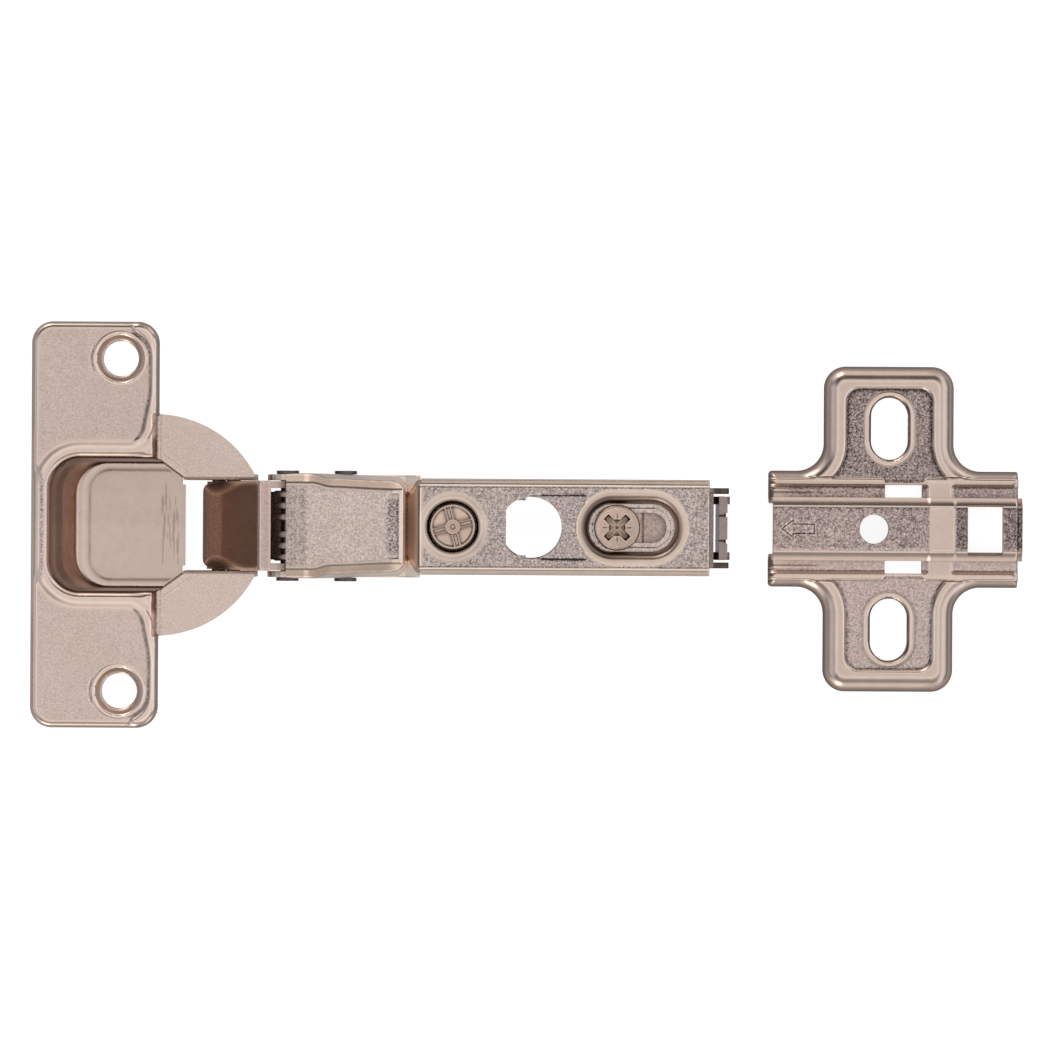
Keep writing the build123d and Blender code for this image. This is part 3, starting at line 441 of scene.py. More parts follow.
def rose_nickel(name, rose=(0.55, 0.447, 0.418), cream=(0.59, 0.472, 0.408), roughness=0.2,
                reflection_brown=(0.185, 0.100, 0.066), grained=0.0):
    """Satin nickel plating with a warm tint: cream where it is smooth, rose and speckled on the
    flats that the press tool grained. It also carries painted light: a painted brown reflection on
    steep walls, painted shade in the creases (which are rougher), a painted highlight on crests,
    and each piece's own painted shade and highlight."""
    finish = Finish(bpy.data.materials.new(name))
    grain = finish.attribute("grain") + grained
    relief, drawn, worn = map(finish.attribute, ("relief", "drawn", "worn"))
    cloud = finish.noise(130.0, 3.0, 0.6)
    blotch = finish.noise(600.0, 2.0, 0.6)
    speckle = finish.noise(4300.0, 3.0, 0.9) * 0.55 + finish.noise(2900.0, 2.0, 0.7) * 0.45
    dots = finish.noise(2100.0, 1.0, 0.5)
    pits = 1.0 - speckle.step(0.38, 0.56)
    lights = speckle.step(0.53, 0.66)
    # painted shade in the creases, mottled, and a painted highlight on crests, tinted cream
    crease = relief.step(0.15, 1.0) * (0.35 + dots.step(0.35, 0.6) * 0.65)
    crest = (0.0 - relief).step(0.1, 0.9)
    tint = finish.mix((grain.low(1.0) - crest * 0.5 + (cloud - 0.5) * 0.7).high(0.0).low(1.0),
                      (*cream, 1), (*rose, 1))
    # painted reflection: steep walls are tinted brown as if they mirrored dark surroundings
    wall = drawn * (0.80 + blotch * 0.3)
    tint = finish.mix(wall.low(1.0), tint, (*reflection_brown, 1))
    # brightness: grain speckle and cloudy tone, painted shade in creases, a painted highlight on
    # crests, and each piece's painted shade and highlight (with real scratches on the cup floor)
    dark = 1.0 - pits * (grain * 0.50 + 0.03) + lights * (grain * 0.40 + 0.03) \
        + (blotch - 0.5) * 0.14 + (cloud - 0.5) * 0.14 - crease * 0.46 + crest * 0.24 - worn * 0.5
    rough = roughness + (cloud - 0.5) * 0.10 + grain.low(1.2) * 0.12 + crease * 0.15 + drawn * 0.12
    height = speckle * (grain + 0.05) + blotch * 0.10 + cloud * 0.6
    return finish.set(Base_Color=finish.scale(tint, dark.high(0.08)), Metallic=1.0,
                      Roughness=rough, Normal=finish.bump(height, 0.00007, 0.8))


def steel(name, colour, roughness, wear=0.3):
    """Bare or blackened steel with a little wear."""
    finish = Finish(bpy.data.materials.new(name))
    cloud = finish.noise(700.0, 3.0, 0.6)
    fine = finish.noise(2600.0, 2.0, 0.6)
    shade = finish.scale((*colour, 1), 1.0 + (cloud - 0.5) * wear * 2 + (fine - 0.5) * wear)
    return finish.set(Base_Color=shade, Metallic=1.0, Roughness=roughness + (fine - 0.5) * 0.2,
                      Normal=finish.bump(cloud + fine * 0.5, 0.00003, 0.7))


# the brown colour given to each copy is that of its painted reflection on steep walls
PLATING = rose_nickel("rose_nickel")
ARM_PLATING = rose_nickel("arm_nickel", rose=(0.60, 0.505, 0.468), cream=(0.65, 0.53, 0.455),
                          reflection_brown=(0.40, 0.275, 0.21))
# the link's copy is darker and browner all over: a painted reflection of the cup's interior
LINK_PLATING = rose_nickel("link_nickel", rose=(0.42, 0.28, 0.225), cream=(0.50, 0.41, 0.39),
                           reflection_brown=(0.47, 0.325, 0.24))
PLATE_PLATING = rose_nickel("plate_nickel", rose=(0.56, 0.445, 0.415), reflection_brown=(0.34, 0.235, 0.18))
HEAD = rose_nickel("screw_nickel", rose=(0.40, 0.31, 0.26), cream=(0.48, 0.365, 0.30),
                   reflection_brown=(0.20, 0.13, 0.10))
DULL = rose_nickel("dull_nickel", (0.36, 0.28, 0.255), (0.42, 0.33, 0.29), 0.3,
                   reflection_brown=(0.17, 0.12, 0.10), grained=0.7)
NUT = rose_nickel("nut_nickel", (0.58, 0.46, 0.42), (0.64, 0.51, 0.45), 0.3, grained=0.9)
PIN_STEEL = steel("pin_steel", (0.12, 0.10, 0.10), 0.3, 0.6)
SPRING_STEEL = steel("spring_steel", (0.42, 0.32, 0.30), 0.46)
LEVER_STEEL = steel("lever_steel", (0.30, 0.245, 0.235), 0.38, 0.25)
NODE_FINISH = {"release_lever": LEVER_STEEL, "depth_nut": NUT, "clip_carriage": DULL}
for name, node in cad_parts.items():
    node.data.materials.clear()
    node.data.materials.append(PIN_STEEL if "pin" in name else SPRING_STEEL if "spring" in name
                               else NODE_FINISH.get(name, PLATING))

# the carriage is darker at its rear prongs and lighter in its slot; the lever's back has two dark
# lines, painted shade for its grooves
PRONG_START, GROOVE_Y = 0.0923, 0.00195
SLOT_START, SLOT_END, SLOT_HALF, SLOT_SOFT = 0.0780, 0.0880, 0.0030, 0.0002
for retoned_finish in (DULL, LEVER_STEEL):
    finish = Finish(retoned_finish)
    tint = finish.inputs["Base Color"]
    before = Sock(finish, tint.links[0].from_socket)
    x, y = finish.part(finish.place(), "X"), abs(finish.part(finish.place(), "Y"))
    if retoned_finish == DULL:
        slot = (x.step(SLOT_START, SLOT_START + SLOT_SOFT)
                - x.step(SLOT_END, SLOT_END + SLOT_SOFT)) \
            * (1.0 - y.step(SLOT_HALF, SLOT_HALF + SLOT_SOFT))
        factor = 1.0 - x.step(PRONG_START, PRONG_START + 0.0007) * 0.72 + slot * 0.3
    else:
        # painted shade: two dark lines for the grooves on the lever's back
        factor = 1.0 - (1.0 - abs(y - GROOVE_Y).step(0.00008, 0.00026)) * 0.8
    finish.put(tint, finish.scale(before, factor))

# ---- the cup: flange, bead, well and crescents
FRONT_PIN = (26.5, 5.5)  # x and z, in the arm and the outer link
FAR = 60.0  # where a box is left open towards the arm
FLANGE = (-14.0, 6.0, -31.8, 31.8, 3.4)  # x0, x1, y0, y1, corner radius, as in every box
FLANGE_Z = 1.45
SCREW_Y = 26.0
MOUTH = (-10.85, FAR, -10.30, 10.30, 4.6)
PLATEAU = (-6.25, FAR, -8.9, 8.9, 3.6)  # the raised part of the well's floor
PLATEAU_LINE = (-6.0, FAR, -8.6, 8.6, 3.4)
PLATEAU_SHADE = (-6.0, FAR, -8.7, 8.7, 3.4)
CRESCENT_X, CRESCENT_R = 5.5, 17.35
STEP_X = (4.95, 5.85)  # where the flange drops to the crescents
CHANNEL_HALF = 7.15
FLOOR_END_X = 9.2
CUP_SHEET = 0.9
BEAD_CREST = 1.45  # how far beyond the flat the bead is highest
BORDER_X = 4.75  # where the right border starts
CREASE_R = 4.75  # radius of the crease round a screw hole
BEAD_BEND = 2.3  # radius of the bead's turn into the right border
# plans of the well from the mouth down: left edge, half width, corner radius, lean of the
# oblique walls, height
WELL = [(-10.85, 10.30, 4.6, 0.00, 3.0), (-10.75, 10.26, 4.6, 0.02, 0.2),
        (-10.45, 10.20, 4.7, 0.05, -2.4), (-9.75, 10.16, 5.0, 0.08, -5.0),
        (-9.20, 10.12, 5.2, 0.11, -7.0), (-8.65, 10.08, 5.3, 0.15, -9.0),
        (-8.35, 10.02, 5.2, 0.22, -9.95), (-8.05, 9.92, 5.0, 0.32, -10.35),
        (-7.70, 9.75, 4.8, 0.45, -10.5), (-7.2, 9.4, 4.5, 0.75, -10.52)]
NO_WELL = 99.0  # height given outside the mouth
STROKES = np.random.default_rng(11).uniform(0, 1, (26, 4))


def well_distance(x, y, left, half, radius, lean):
    box = box_distance(x, y, left, FAR, -half, half, radius)
    oblique = ((x - 5.9) * 3.3 + (abs(y) - 10.30) * 4.5) / 5.58 + lean
    return most(box, oblique)


def mouth_distance(x, y):
    return well_distance(x, y, *WELL[0][:4])


def well_height(x, y):
    levels = [well_distance(x, y, *level[:4]) for level in WELL]
    z = np.full_like(x, WELL[-1][4])
    for above, below, top, bottom in zip(levels[:-1], levels[1:], WELL[:-1], WELL[1:]):
        within = (above < 0) & (below >= 0)
        share = np.where(within, above / least(above - below, -1e-9), 0)
        z = np.where(within, top[4] + (bottom[4] - top[4]) * share, z)
    return np.where(levels[0] >= 0, NO_WELL, z)


def hole_radius(x, y):
    """Distance from the middle of the nearer screw hole."""
    return np.hypot(x, abs(y) - SCREW_Y)


def flat_distance(x, y):
    """Distance beyond the flange's grained flat: past the bead, the right border and the crease
    round the screw hole."""
    ay = abs(y)
    side = x - BORDER_X + 1.25 * fade(ay, 13.4, 22.0)
    near = ease(x, -0.5, 2.4)
    hole = hole_radius(x, y) - CREASE_R
    side = np.where(ay > SCREW_Y, hole * near - 2.5 * (1 - near), side)
    return both_sides(side, 2.9 - box_distance(x, y, *MOUTH), BEAD_BEND)


def cup_height(x, y):
    ay = abs(y)
    beyond, hole = flat_distance(x, y), hole_radius(x, y)
    # the bead along the mouth turns by a radius into the raised right border
    crest = 0.31 * hump(beyond, BEAD_CREST, 1.7)
    border = 0.34 * ease(beyond, -0.1, 0.55) * (beyond < BEAD_CREST) * ease(x, 0.6, 2.8)
    mixing = ease(ay, 12.4, 14.8)
    flat = FLANGE_Z + np.where(x > 1.5, crest * (1 - mixing) + border * mixing,
                               np.where(ay > 13.6, border, crest))
    flat -= 0.10 * hump(beyond, -0.2, 0.4) * ease(x, 0.2, 2.4) * ease(ay, 12.8, 15.4)
    # the coined mark left of each screw hole
    flat -= 0.16 * hump(hole, 4.55, 0.28) * fade(x, -4.35, -3.9)
    flat = flat + 0.17 * hump(hole, 3.95, 0.6) - 1.0 * fade(hole, 2.6, 3.95)
    flat -= rounded_edge(-box_distance(x, y, *FLANGE), 1.3) * 0.95
    low = 0.03 - 0.05 * hump(x, 6.25, 0.22)
    falls = ease(x, *STEP_X) * most(1 - ease(ay, 17.37, 17.45), x > 5.99)
    level = flat * (1 - falls) + low * falls
    rim = mouth_distance(x, y)
    level -= rounded_edge(rim, 1.15 - 0.75 * ease(x, *STEP_X))
    # the crescents' inner edge rolls down into the cheeks, and a press seam runs beside it
    level -= rounded_edge(ay - CHANNEL_HALF, 0.45) * (x > 10.2)
    seam = abs(rim - 1.15) * (x > 6.6) + 9 * (x <= 6.6)
    level -= 0.05 * hump(seam, 0, 0.2)
    plateau = 0.05 * fade(box_distance(x, y, *PLATEAU), -0.6, 0.2)
    plateau -= 0.04 * hump(box_distance(x, y, *PLATEAU_LINE), 0, 0.2) \
        * (0.5 + 0.5 * np.sin(9 * y) * np.sin(3.1 * y)) * (x < -4.5)
    return least(level, well_height(x, y) + plateau)


def cup_outline(x, y):
    ay = abs(y)
    disc = most(np.hypot(x - CRESCENT_X, y) - CRESCENT_R, 4.9 - x)
    sheet = least(box_distance(x, y, *FLANGE), disc)
    hole = 2.75 - hole_radius(x, y)
    channel = -most(FLOOR_END_X - x, ay - CHANNEL_HALF)
    notch = -most(8.75 - x, 6.45 - ay, ay - 7.6)
    return most(sheet, hole, channel, notch)


def cup_rim(x, y):
    on_flange = (abs(y) > 17.2) | (x < -10)
    hole = hole_radius(x, y) < 3.5
    return np.where(on_flange, np.where(hole, 0.05, 0.0), cup_height(x, y) - 0.95)


def rubbed(x, y):
    """Short scratches across the floor, where the links' knuckle rubs."""
    marks = 0 * x
    for place, middle, reach, lean in STROKES:
        start = 5.6 + 2.6 * place + (lean - 0.5) * 0.12 * y
        along = abs(y - 9 * (middle - 0.5))
        marks = most(marks, hump(x, start, 0.13) * fade(
            along, 0.2 + 1.8 * reach, 0.6 + 2.2 * reach))
    return marks


# painted shade and highlight for the cup, and the real scratches on its floor
def cup_painted_shading_and_scratches(x, y):
    ay, z = abs(y), well_height(x, y)
    inside = -box_distance(x, y, *FLANGE)
    beyond = flat_distance(x, y)
    sheet, floor = z == NO_WELL, z < -9.9
    # painted highlight bands on the well's walls and round its floor, towards its left end
    glow = -1.7 * fade(z, -5.3, -4.9) * ease(z, -9.4, -8.6) \
        - 3.4 * fade(z, -9.6, -8.8) * ease(z, -10.46, -10.3)
    glow = np.where(z < -4.0, glow * fade(x, -6.5, -4.5), 0)
    # painted highlight on the step down to the crescents
    step = -0.35 * hump(x, 5.3, 0.7) * (ay > 10.6) * (inside > 0.3)
    # painted shade along the flange's outer edge, weakest beside the well
    edge = 0.55 * fade(inside, 0.2, 0.8) * ((ay > 17.3) | (x < 0)) \
        * (1 - 0.9 * fade(ay, 11.0, 16.0))
    # painted shade in the crease beside the right border
    crease = 0.55 * hump(beyond, -0.25, 0.5) * ease(x, 0.6, 2.6) * ease(ay, 13.4, 15.4)
    # painted highlight along the bead's crest; painted shade along the plateau's line on the
    # floor's left, with a painted highlight beside it
    shine = -0.06 - 0.34 * hump(beyond, 1.2, 0.8) * sheet * (x < 5)
    line = box_distance(x, y, *PLATEAU_SHADE)
    shine += floor * (x < 6) * (0.5 * hump(line, 0, 0.35) * (x < -2.5)
                                - 0.3 * hump(line, 0.9, 0.7))
    # painted shade along the press seam where the crescents start, mottled
    side = 0.7 * hump(x, 6.28, 0.3) * (0.55 + 0.45 * np.sin(7 * y) * np.sin(2.3 * y)) \
        * sheet * (ay < 17.3)
    # painted shade on the floor, the whole cup a little darker on the +Y half and lighter on the -Y
    # half, and a painted highlight on the crescents
    side += 0.22 * floor - 0.05 * np.sign(-y) - 0.10 * (x > 5.9) * sheet
    # real scratches where the links' knuckle rubs
    return glow + step + edge + crease + shine + side + 0.75 * rubbed(x, y) * (z < -9)


# painted brown reflection on the well's steep walls, on the step down to the crescents and on the
# flange's cut edge
def cup_painted_reflection(x, y):
    step = fade(abs(y), 12.9, 14.4) * (x > 4.4)
    cut = 0.4 * (box_distance(x, y, *FLANGE) > -0.4)
    well = fade(mouth_distance(x, y), -0.05, 0.45)
    return steepness(cup_height, x, y) * most(well, step, cut)


def cup_grain(x, y):
    flat = fade(flat_distance(x, y), -0.6, -0.1) * ease(hole_radius(x, y), 4.0, 4.8) \
        * ease(-box_distance(x, y, *FLANGE), 0.9, 1.6)
    dotted = 1.9 * hump(x, -12.2, 0.5) * fade(abs(y), 6.5, 9.5)
    crescent = 0.3 * (x > 5.9) * ease(mouth_distance(x, y), 0.2, 0.8)
    return most(flat * 0.36, crescent, dotted)


cup_ys = mirrored_points(0, (6.3, 0.5), (15.4, 0.11), (20.0, 0.4), (31.8, 0.2))
cup_ys[0], cup_ys[-1] = -31.9, 31.9
cup_xs = axis_points(-14.1, (-12.5, 0.14), (-5.8, 0.14), (-4.6, 0.3), (2.0, 0.2), (10.6, 0.1),
                     (23.0, 0.38))
cheek = [(9.8, -0.2), (9.8, -9.6), (18.8, -9.6), (20.2, -9.1), (21.0, -8.0), (21.0, -0.2)]
cup = make_piece(
    "pressed_cup", "cup", ["hinge_cup"], PLATING,
    pressing(cup_xs, cup_ys, cup_outline, cup_height, CUP_SHEET, cup_rim, spread=0.3),
    *side_plates(cheek, CHANNEL_HALF, CHANNEL_HALF + CUP_SHEET),
    grain=cup_grain, relief=cup_height, worn=cup_painted_shading_and_scratches, drawn=cup_painted_reflection)

# ---- the arm: hood, neck and channel
ARM_TOP = 10.5
ARM_HALF = 7.42
ARM_SHEET = 0.9
HOOD_TOP = 11.62
HOOD_END = 44.9
HOOD_CORNER = 2.1
NECK_END = 46.9  # where the front cheeks end
CHANNEL_START = 47.0
CHANNEL_END = 91.8
EDGE_WIDTH = 1.02  # width of the chamfer along the channel
DISH_X, SEAT_R, DISH_R = 52.2, 3.78, 5.6  # the overlay screw's seat, in a soft dish
WINDOW = (64.3, -0.1)
STRIP_Y = 5.08  # half width of the tongue between the window and the recess
RECESS_OUTER = (79.88, 8.72, 5.79)  # middle x, half length, half width
RECESS_INNER = (79.84, 6.80, 3.80)
RECESS_DROP = 2.1
RECESS_REACH = 1.985  # width of the recess's quarter-round wall
WALL_END = 1.97  # where the wall turns into the recess's floor


def hood_half(x):
    return 7.95 - 0.60 * ease(x, 30.6, 33.4) - 0.40 * ease(x, 32.0, 44.0)


def hood_distance(x, y):
    half = hood_half(x)
    return box_distance(x, y * 7.0 / half, 10.0, HOOD_END, -7.0, 7.0, HOOD_CORNER)


def neck_half(x):
    return 5.0 + 2.4 * ease(x, 44.6, 47.3)


def soft_edge(inside, wide, drop):
    """Drop of an edge that starts to fall `wide` inside and ends `drop` lower, on a quarter of
    an ellipse, and then goes on down a steep side."""
    t = np.clip(1 - inside / wide, 0, 0.992)
    return drop * (1 - np.sqrt(1 - t * t)) + 7.0 * most(-inside, 0)


def seat_radius(x, y):
    return np.hypot(x - DISH_X, y)


def hood_height(x, y):
    ay = abs(y)
    pad = HOOD_TOP - 0.07 * fade(x, 29.2, 30.2) - 0.0016 * y * y
    pad -= 0.20 * ease(x, 40.4, 43.6) * ease(HOOD_END - x, 0.75, 1.2) \
        * ease(hood_half(x) - ay, 1.7, 2.3)
    side = np.clip(ay - hood_half(x) + 1.75, 0, 1.75)
    chamfer = 0.80 * np.where(side < 0.9, side * side / 1.8, side - 0.45)
    end = soft_edge(most(HOOD_END - x, 0), 0.75, 0.95)
    return pad - np.hypot(chamfer, end) - 6.0 * most(hood_distance(x, y), 0)


def channel_height(x, y):
    ay = abs(y)
    beside = ARM_HALF - ay
    lean = np.clip(EDGE_WIDTH - beside, 0, EDGE_WIDTH)
    z = ARM_TOP - 0.30 * np.where(lean < 0.2, lean * lean / 0.4, lean - 0.1) \
        - rounded_edge(beside, 0.24) - 7.0 * most(-beside, 0) \
        + 0.03 * hump(ay, 6.45, 0.25) - 0.07 * hump(ay, 6.16, 0.17)
    z = z - rounded_edge(x - CHANNEL_START + 0.05, 0.4) - rounded_edge(CHANNEL_END - x, 0.25)
    # the seat of the overlay screw, with a soft ring round it
    r = seat_radius(x, y)
    ring = 0.32 * fade(r, SEAT_R + 0.25, DISH_R) + 0.35 * fade(r, SEAT_R, SEAT_R + 0.3)
    z -= np.where(r < SEAT_R, 1.75, ring)
    # the oval recess and the tongue pressed between it and the window
    outer = oval_distance(x, y, *RECESS_OUTER)
    across = np.clip(-outer, 0, WALL_END) / RECESS_REACH
    drop = RECESS_DROP * (1 - np.cbrt(1 - across ** 3)) \
        / (1 - np.cbrt(1 - (WALL_END / RECESS_REACH) ** 3))
    tongue = 0.15 * fade(ay, 4.88, 5.02) * ease(x, 63.8, 64.4) * fade(x, 72.2, 73.4) \
        * (outer > -0.05)
    z -= most(np.where(outer < 0, drop, 0), tongue)
    z += 0.07 * hump(ay, STRIP_Y, 0.2) * ease(x, 65.5, 66.5) * fade(x, 72.6, 73.6) * (outer > 0)
    z += 0.05 * hump(outer, 0.12, 0.5)
    inner = oval_distance(x, y, *RECESS_INNER)
    return z + (0.06 * fade(inner, -0.82, -0.72) - 0.05 * hump(inner, -0.70, 0.12)) * (inner < 0)


def arm_height(x, y):
    # neck: a saddle whose far side climbs to the channel, its sides leaning to the cheeks
    beside = neck_half(x) - abs(y)
    neck = 9.25 + 1.2 * ease(x, 44.7, CHANNEL_START + 0.25) \
        - 0.9 * (1 - np.sqrt(1 - np.clip(1 - beside / 1.3, 0, 0.8) ** 2)) \
        - 1.1 * most(-beside, 0) * (x < NECK_END)
    front = most(hood_height(x, y), neck)
    return np.where(x < CHANNEL_START - 0.02, front, channel_height(x, y))


def arm_outline(x, y):
    ay = abs(y)
    hood = most(hood_distance(x, y) - 0.72 * ease(x, 26, 33), FRONT_PIN[0] + 0.1 - x)
    hood = np.where(x < 45.9, hood, 9)
    neck = most(43.5 - x, x - CHANNEL_START - 0.1, ay - 7.9 + 0.6 * ease(x, 46.2, 47.0))
    body = most(CHANNEL_START - x, x - CHANNEL_END, ay - ARM_HALF)
    # the access window: a round hole with a box that has cut corners on its left
    aside = abs(y - WINDOW[1])
    circle = most(np.hypot(x - WINDOW[0], aside) - 4.76, 63.5 - x)
    box = most(60.42 - x, x - WINDOW[0], aside - 4.22)
    box = most(box, ((61.75 - x) + (aside - 4.22)) * 0.707)
    window = least(circle, box)
    slot = oval_distance(x, y, 79.95, 5.3, 2.35)
    cut = least(window, seat_radius(x, y) - 2.65, slot)
    return most(least(hood, neck, body), -cut)


def arm_rim(x, y):
    ay = abs(y)
    side = (ay > 4.9) & ((x > 26.75) | (ay > 7.1)) & ((x < 91.6) | (ay > 6.5))
    return np.where(side, np.where(x < NECK_END, 4.2, -0.5), arm_height(x, y) - 0.92)


def arm_grain(x, y):
    ay = abs(y)
    inside = -hood_distance(x, y)
    coarse = ease(x, 40.9, 42.8) * fade(ay, 3.8, 4.7)
    hood = ease(inside, 1.3, 1.9) * (0.75 + 0.1 * fade(x, 29.2, 30.2))
    hood = most(hood, 1.5 * coarse * ease(inside, 0.85, 1.1))
    flat = 1.2 * fade(ay, 6.1, 6.3) * ease(seat_radius(x, y), 5.0, 6.0) \
        * ease(oval_distance(x, y, *RECESS_OUTER), -0.1, 0.3) * ease(x, 47.4, 48.0)
    flat = most(flat, 0.8 * fade(oval_distance(x, y, *RECESS_INNER), -0.3, 0.0))
    return np.where(x < HOOD_END, hood, flat)


# painted shade and highlight for the arm
def arm_painted_shading(x, y):
    ay, half = abs(y), neck_half(x)
    inside = -hood_distance(x, y)
    # the hood's front strip is darker, less so along one line
    strip = 0.42 * fade(x, 29.3, 30.1) * ease(inside, 0.7, 1.2) \
        * (1 - 0.5 * hump(x, 28.6, 0.2))
    # painted shade on the coarse patch where the hood tilts down at its end
    coarse = 0.42 * ease(x, 41.2, 43.0) * fade(ay, 4.0, 4.9) * ease(inside, 0.85, 1.1)
    # painted shade on the hood's side bands, more on the -Y side
    sides = 0.3 * hump(inside, 1.55, 0.5) * (x < 43.0) \
        + (0.56 + 0.14 * np.sign(-y)) * fade(inside, 0.9, 1.7) * ease(inside, 0.0, 0.15) \
        * fade(x, 42.0, 43.6)
    # painted highlight on the neck, strongest towards its sides
    neck = (-0.1 - 0.5 * ease(ay, 1.5, 4.5)) * ease(x, 44.9, 45.2) * fade(x, 46.4, 46.9) \
        * fade(ay, half - 0.3, half + 0.1)
    # painted reflection that turns the tops of the front cheeks pale, beside the neck
    within = np.where(x < 43.6, ease(inside, -0.68, -0.55), fade(ay, 7.62, 7.78))
    walls = neck - (0.5 + 0.75 * ease(x, 37.0, 41.0) * within) * fade(inside, -0.2, -0.05) \
        * ((x < 44.2) | (ay > half + 0.1))
    # painted shade in the line where the neck meets the channel
    walls += 0.9 * hump(x, 46.85, 0.3) * fade(ay, 6.0, 6.6)
    outer, inner = -oval_distance(x, y, *RECESS_OUTER), -oval_distance(x, y, *RECESS_INNER)
    far = ease(x, 74.0, 86.0)  # the wall is dark at the screw's end and light at the other
    # painted shade on the recess's wall, full at the screw's end; at the other end only a thin
    # painted shadow line at the wall's foot
    wall = (0.5 * ease(outer, 0.15, 1.0) + ease(outer, 0.75, 1.3)) * (1 - 0.8 * far) \
        + 0.6 * far * ease(outer, 1.6, 1.85)
    # painted shade along the tongue's two pressed lines
    strips = (2.4 * hump(y, -4.98, 0.26) + 1.7 * hump(y, 4.98, 0.2)) \
        * ease(x, 65.4, 66.2) * fade(x, 72.2, 73.2)
    # painted shade inside the recess
    channel = most(0.22 * (outer < 0) * fade(ay, 6.1, 6.3), -0.1 * ease(inner, 0, 0.3))
    # painted shade in the overlay screw's seat
    channel += strips + wall * fade(inner, -0.05, 0.05) \
        + 1.4 * fade(seat_radius(x, y), 4.0, 4.4)
    # painted shade along the channel's sides, more on the -Y side, and on its outer edges; painted
    # highlight along a line inside each edge and at the channel's front end
    channel += 0.25 * fade(y, -6.8, -6.4) + 0.12 * ease(y, 6.4, 6.8) \
        + 0.7 * hump(ay, 7.34, 0.10) - 0.3 * hump(ay, 6.42, 0.14) \
        - 0.6 * hump(x, 47.25, 0.22) * fade(ay, 6.5, 6.8)
    front = most(strip, coarse, sides) + walls
    return np.where(x < CHANNEL_START, front, channel)


# painted brown reflection on the neck, the hood's side bands, the overlay screw's seat and the
# recess's wall
def arm_painted_reflection(x, y):
    half = neck_half(x)
    neck = ease(x, 44.7, 45.1) * fade(x, 46.8, 47.3) * fade(abs(y), half - 0.4, half + 0.2)
    band = 0.30 * ease(hood_distance(x, y), -1.5, -0.6) * (x < 43.5)
    screw = 0.8 * fade(seat_radius(x, y), 4.0, 4.4)
    recess = 0.9 * fade(oval_distance(x, y, *RECESS_OUTER), -1.4, -0.35) \
        * ease(oval_distance(x, y, *RECESS_INNER), -0.1, 0.0)
    return most(neck, band, screw, recess)


arm_xs = axis_points(26.5, (26.9, 0.1), (29.0, 0.4), (30.4, 0.14), (40.4, 0.42), (42.6, 0.2),
                     (47.6, 0.1), (57.8, 0.16), (60.2, 0.4), (69.2, 0.12), (71.0, 0.2),
                     (88.8, 0.14), (91.2, 0.4), (91.9, 0.12))
arm_ys = mirrored_points(0, (1.9, 0.2), (5.9, 0.13), (8.1, 0.08))
front_cheek = [(32.4, -0.5)] + arc(FRONT_PIN, 3.1, range(70, 251, 15))[::-1] + [
    (31.5, 9.2), (33.5, 4.6), (NECK_END, 4.6), (NECK_END, -0.5), (44.0, -0.5)]
arm = make_piece(
    "pressed_arm", "arm", ["hinge_arm"], ARM_PLATING,
    pressing(arm_xs, arm_ys, arm_outline, arm_height, ARM_SHEET, arm_rim),
    *side_plates(front_cheek, 7.05, 7.95),
    grain=arm_grain, relief=arm_height, worn=arm_painted_shading, drawn=arm_painted_reflection)

# ---- the mounting plate
PLATE_BASE = -11.5
PLATE_SHEET = 1.0
PLATE = (102.1, 142.1, -9.25, 9.25, 0.6)
WING = (110.9, 131.6, -25.9, 25.9, 3.5)
WING_BEND = 4.3  # radius of the corner between a wing and the plate's ends
SLOT_X, SLOT_Y, SLOT_R, SLOT_REACH = 121.3, 16.0, 3.0, 1.95
RAIL_FLAT = 3.45
RAIL_EDGE = 5.02
STEP = (127.3, 131.4)  # the smooth step across the plate
GAP = (120.4, 126.8)  # where the small windows break the strip beside the wing
ARROW = (104.05, 105.75, 109.1, 1.35, 0.72)  # tip, head end, tail, half widths


def plate_edge(x, y):
    """Signed distance to the cross, negative inside, its inner corners rounded."""
    band, wing = box_distance(x, y, *PLATE), box_distance(x, y, *WING)
    return most(WING_BEND, least(band, wing)) - np.hypot(
        most(WING_BEND - band, 0), most(WING_BEND - wing, 0))


def slot_distance(x, y):
    beyond = most(abs(abs(y) - SLOT_Y) - SLOT_REACH, 0)
    return np.hypot(x - SLOT_X, beyond) - SLOT_R


def arrow_line(x, y):
    """Distance from the outline of the arrow that shows which way the plate goes."""
    tip, neck, tail, head, shaft = ARROW
    point = most(x - neck, (abs(y) - head * (x - tip) / (neck - tip)) * 0.78)
    return abs(least(point, box_distance(x, y, neck - 0.3, tail, -shaft, shaft, 0.05)))


def pocket_distance(x, y):
    """Signed distance to the grained pocket of a wing, its far corners rounded."""
    ay = abs(y)
    corner = both_sides(abs(x - 121.25) - 6.95, ay - 22.5, 2.3)
    return most(plate_edge(x, y) + 3.4, np.where(ay > 18.5, corner, -9))


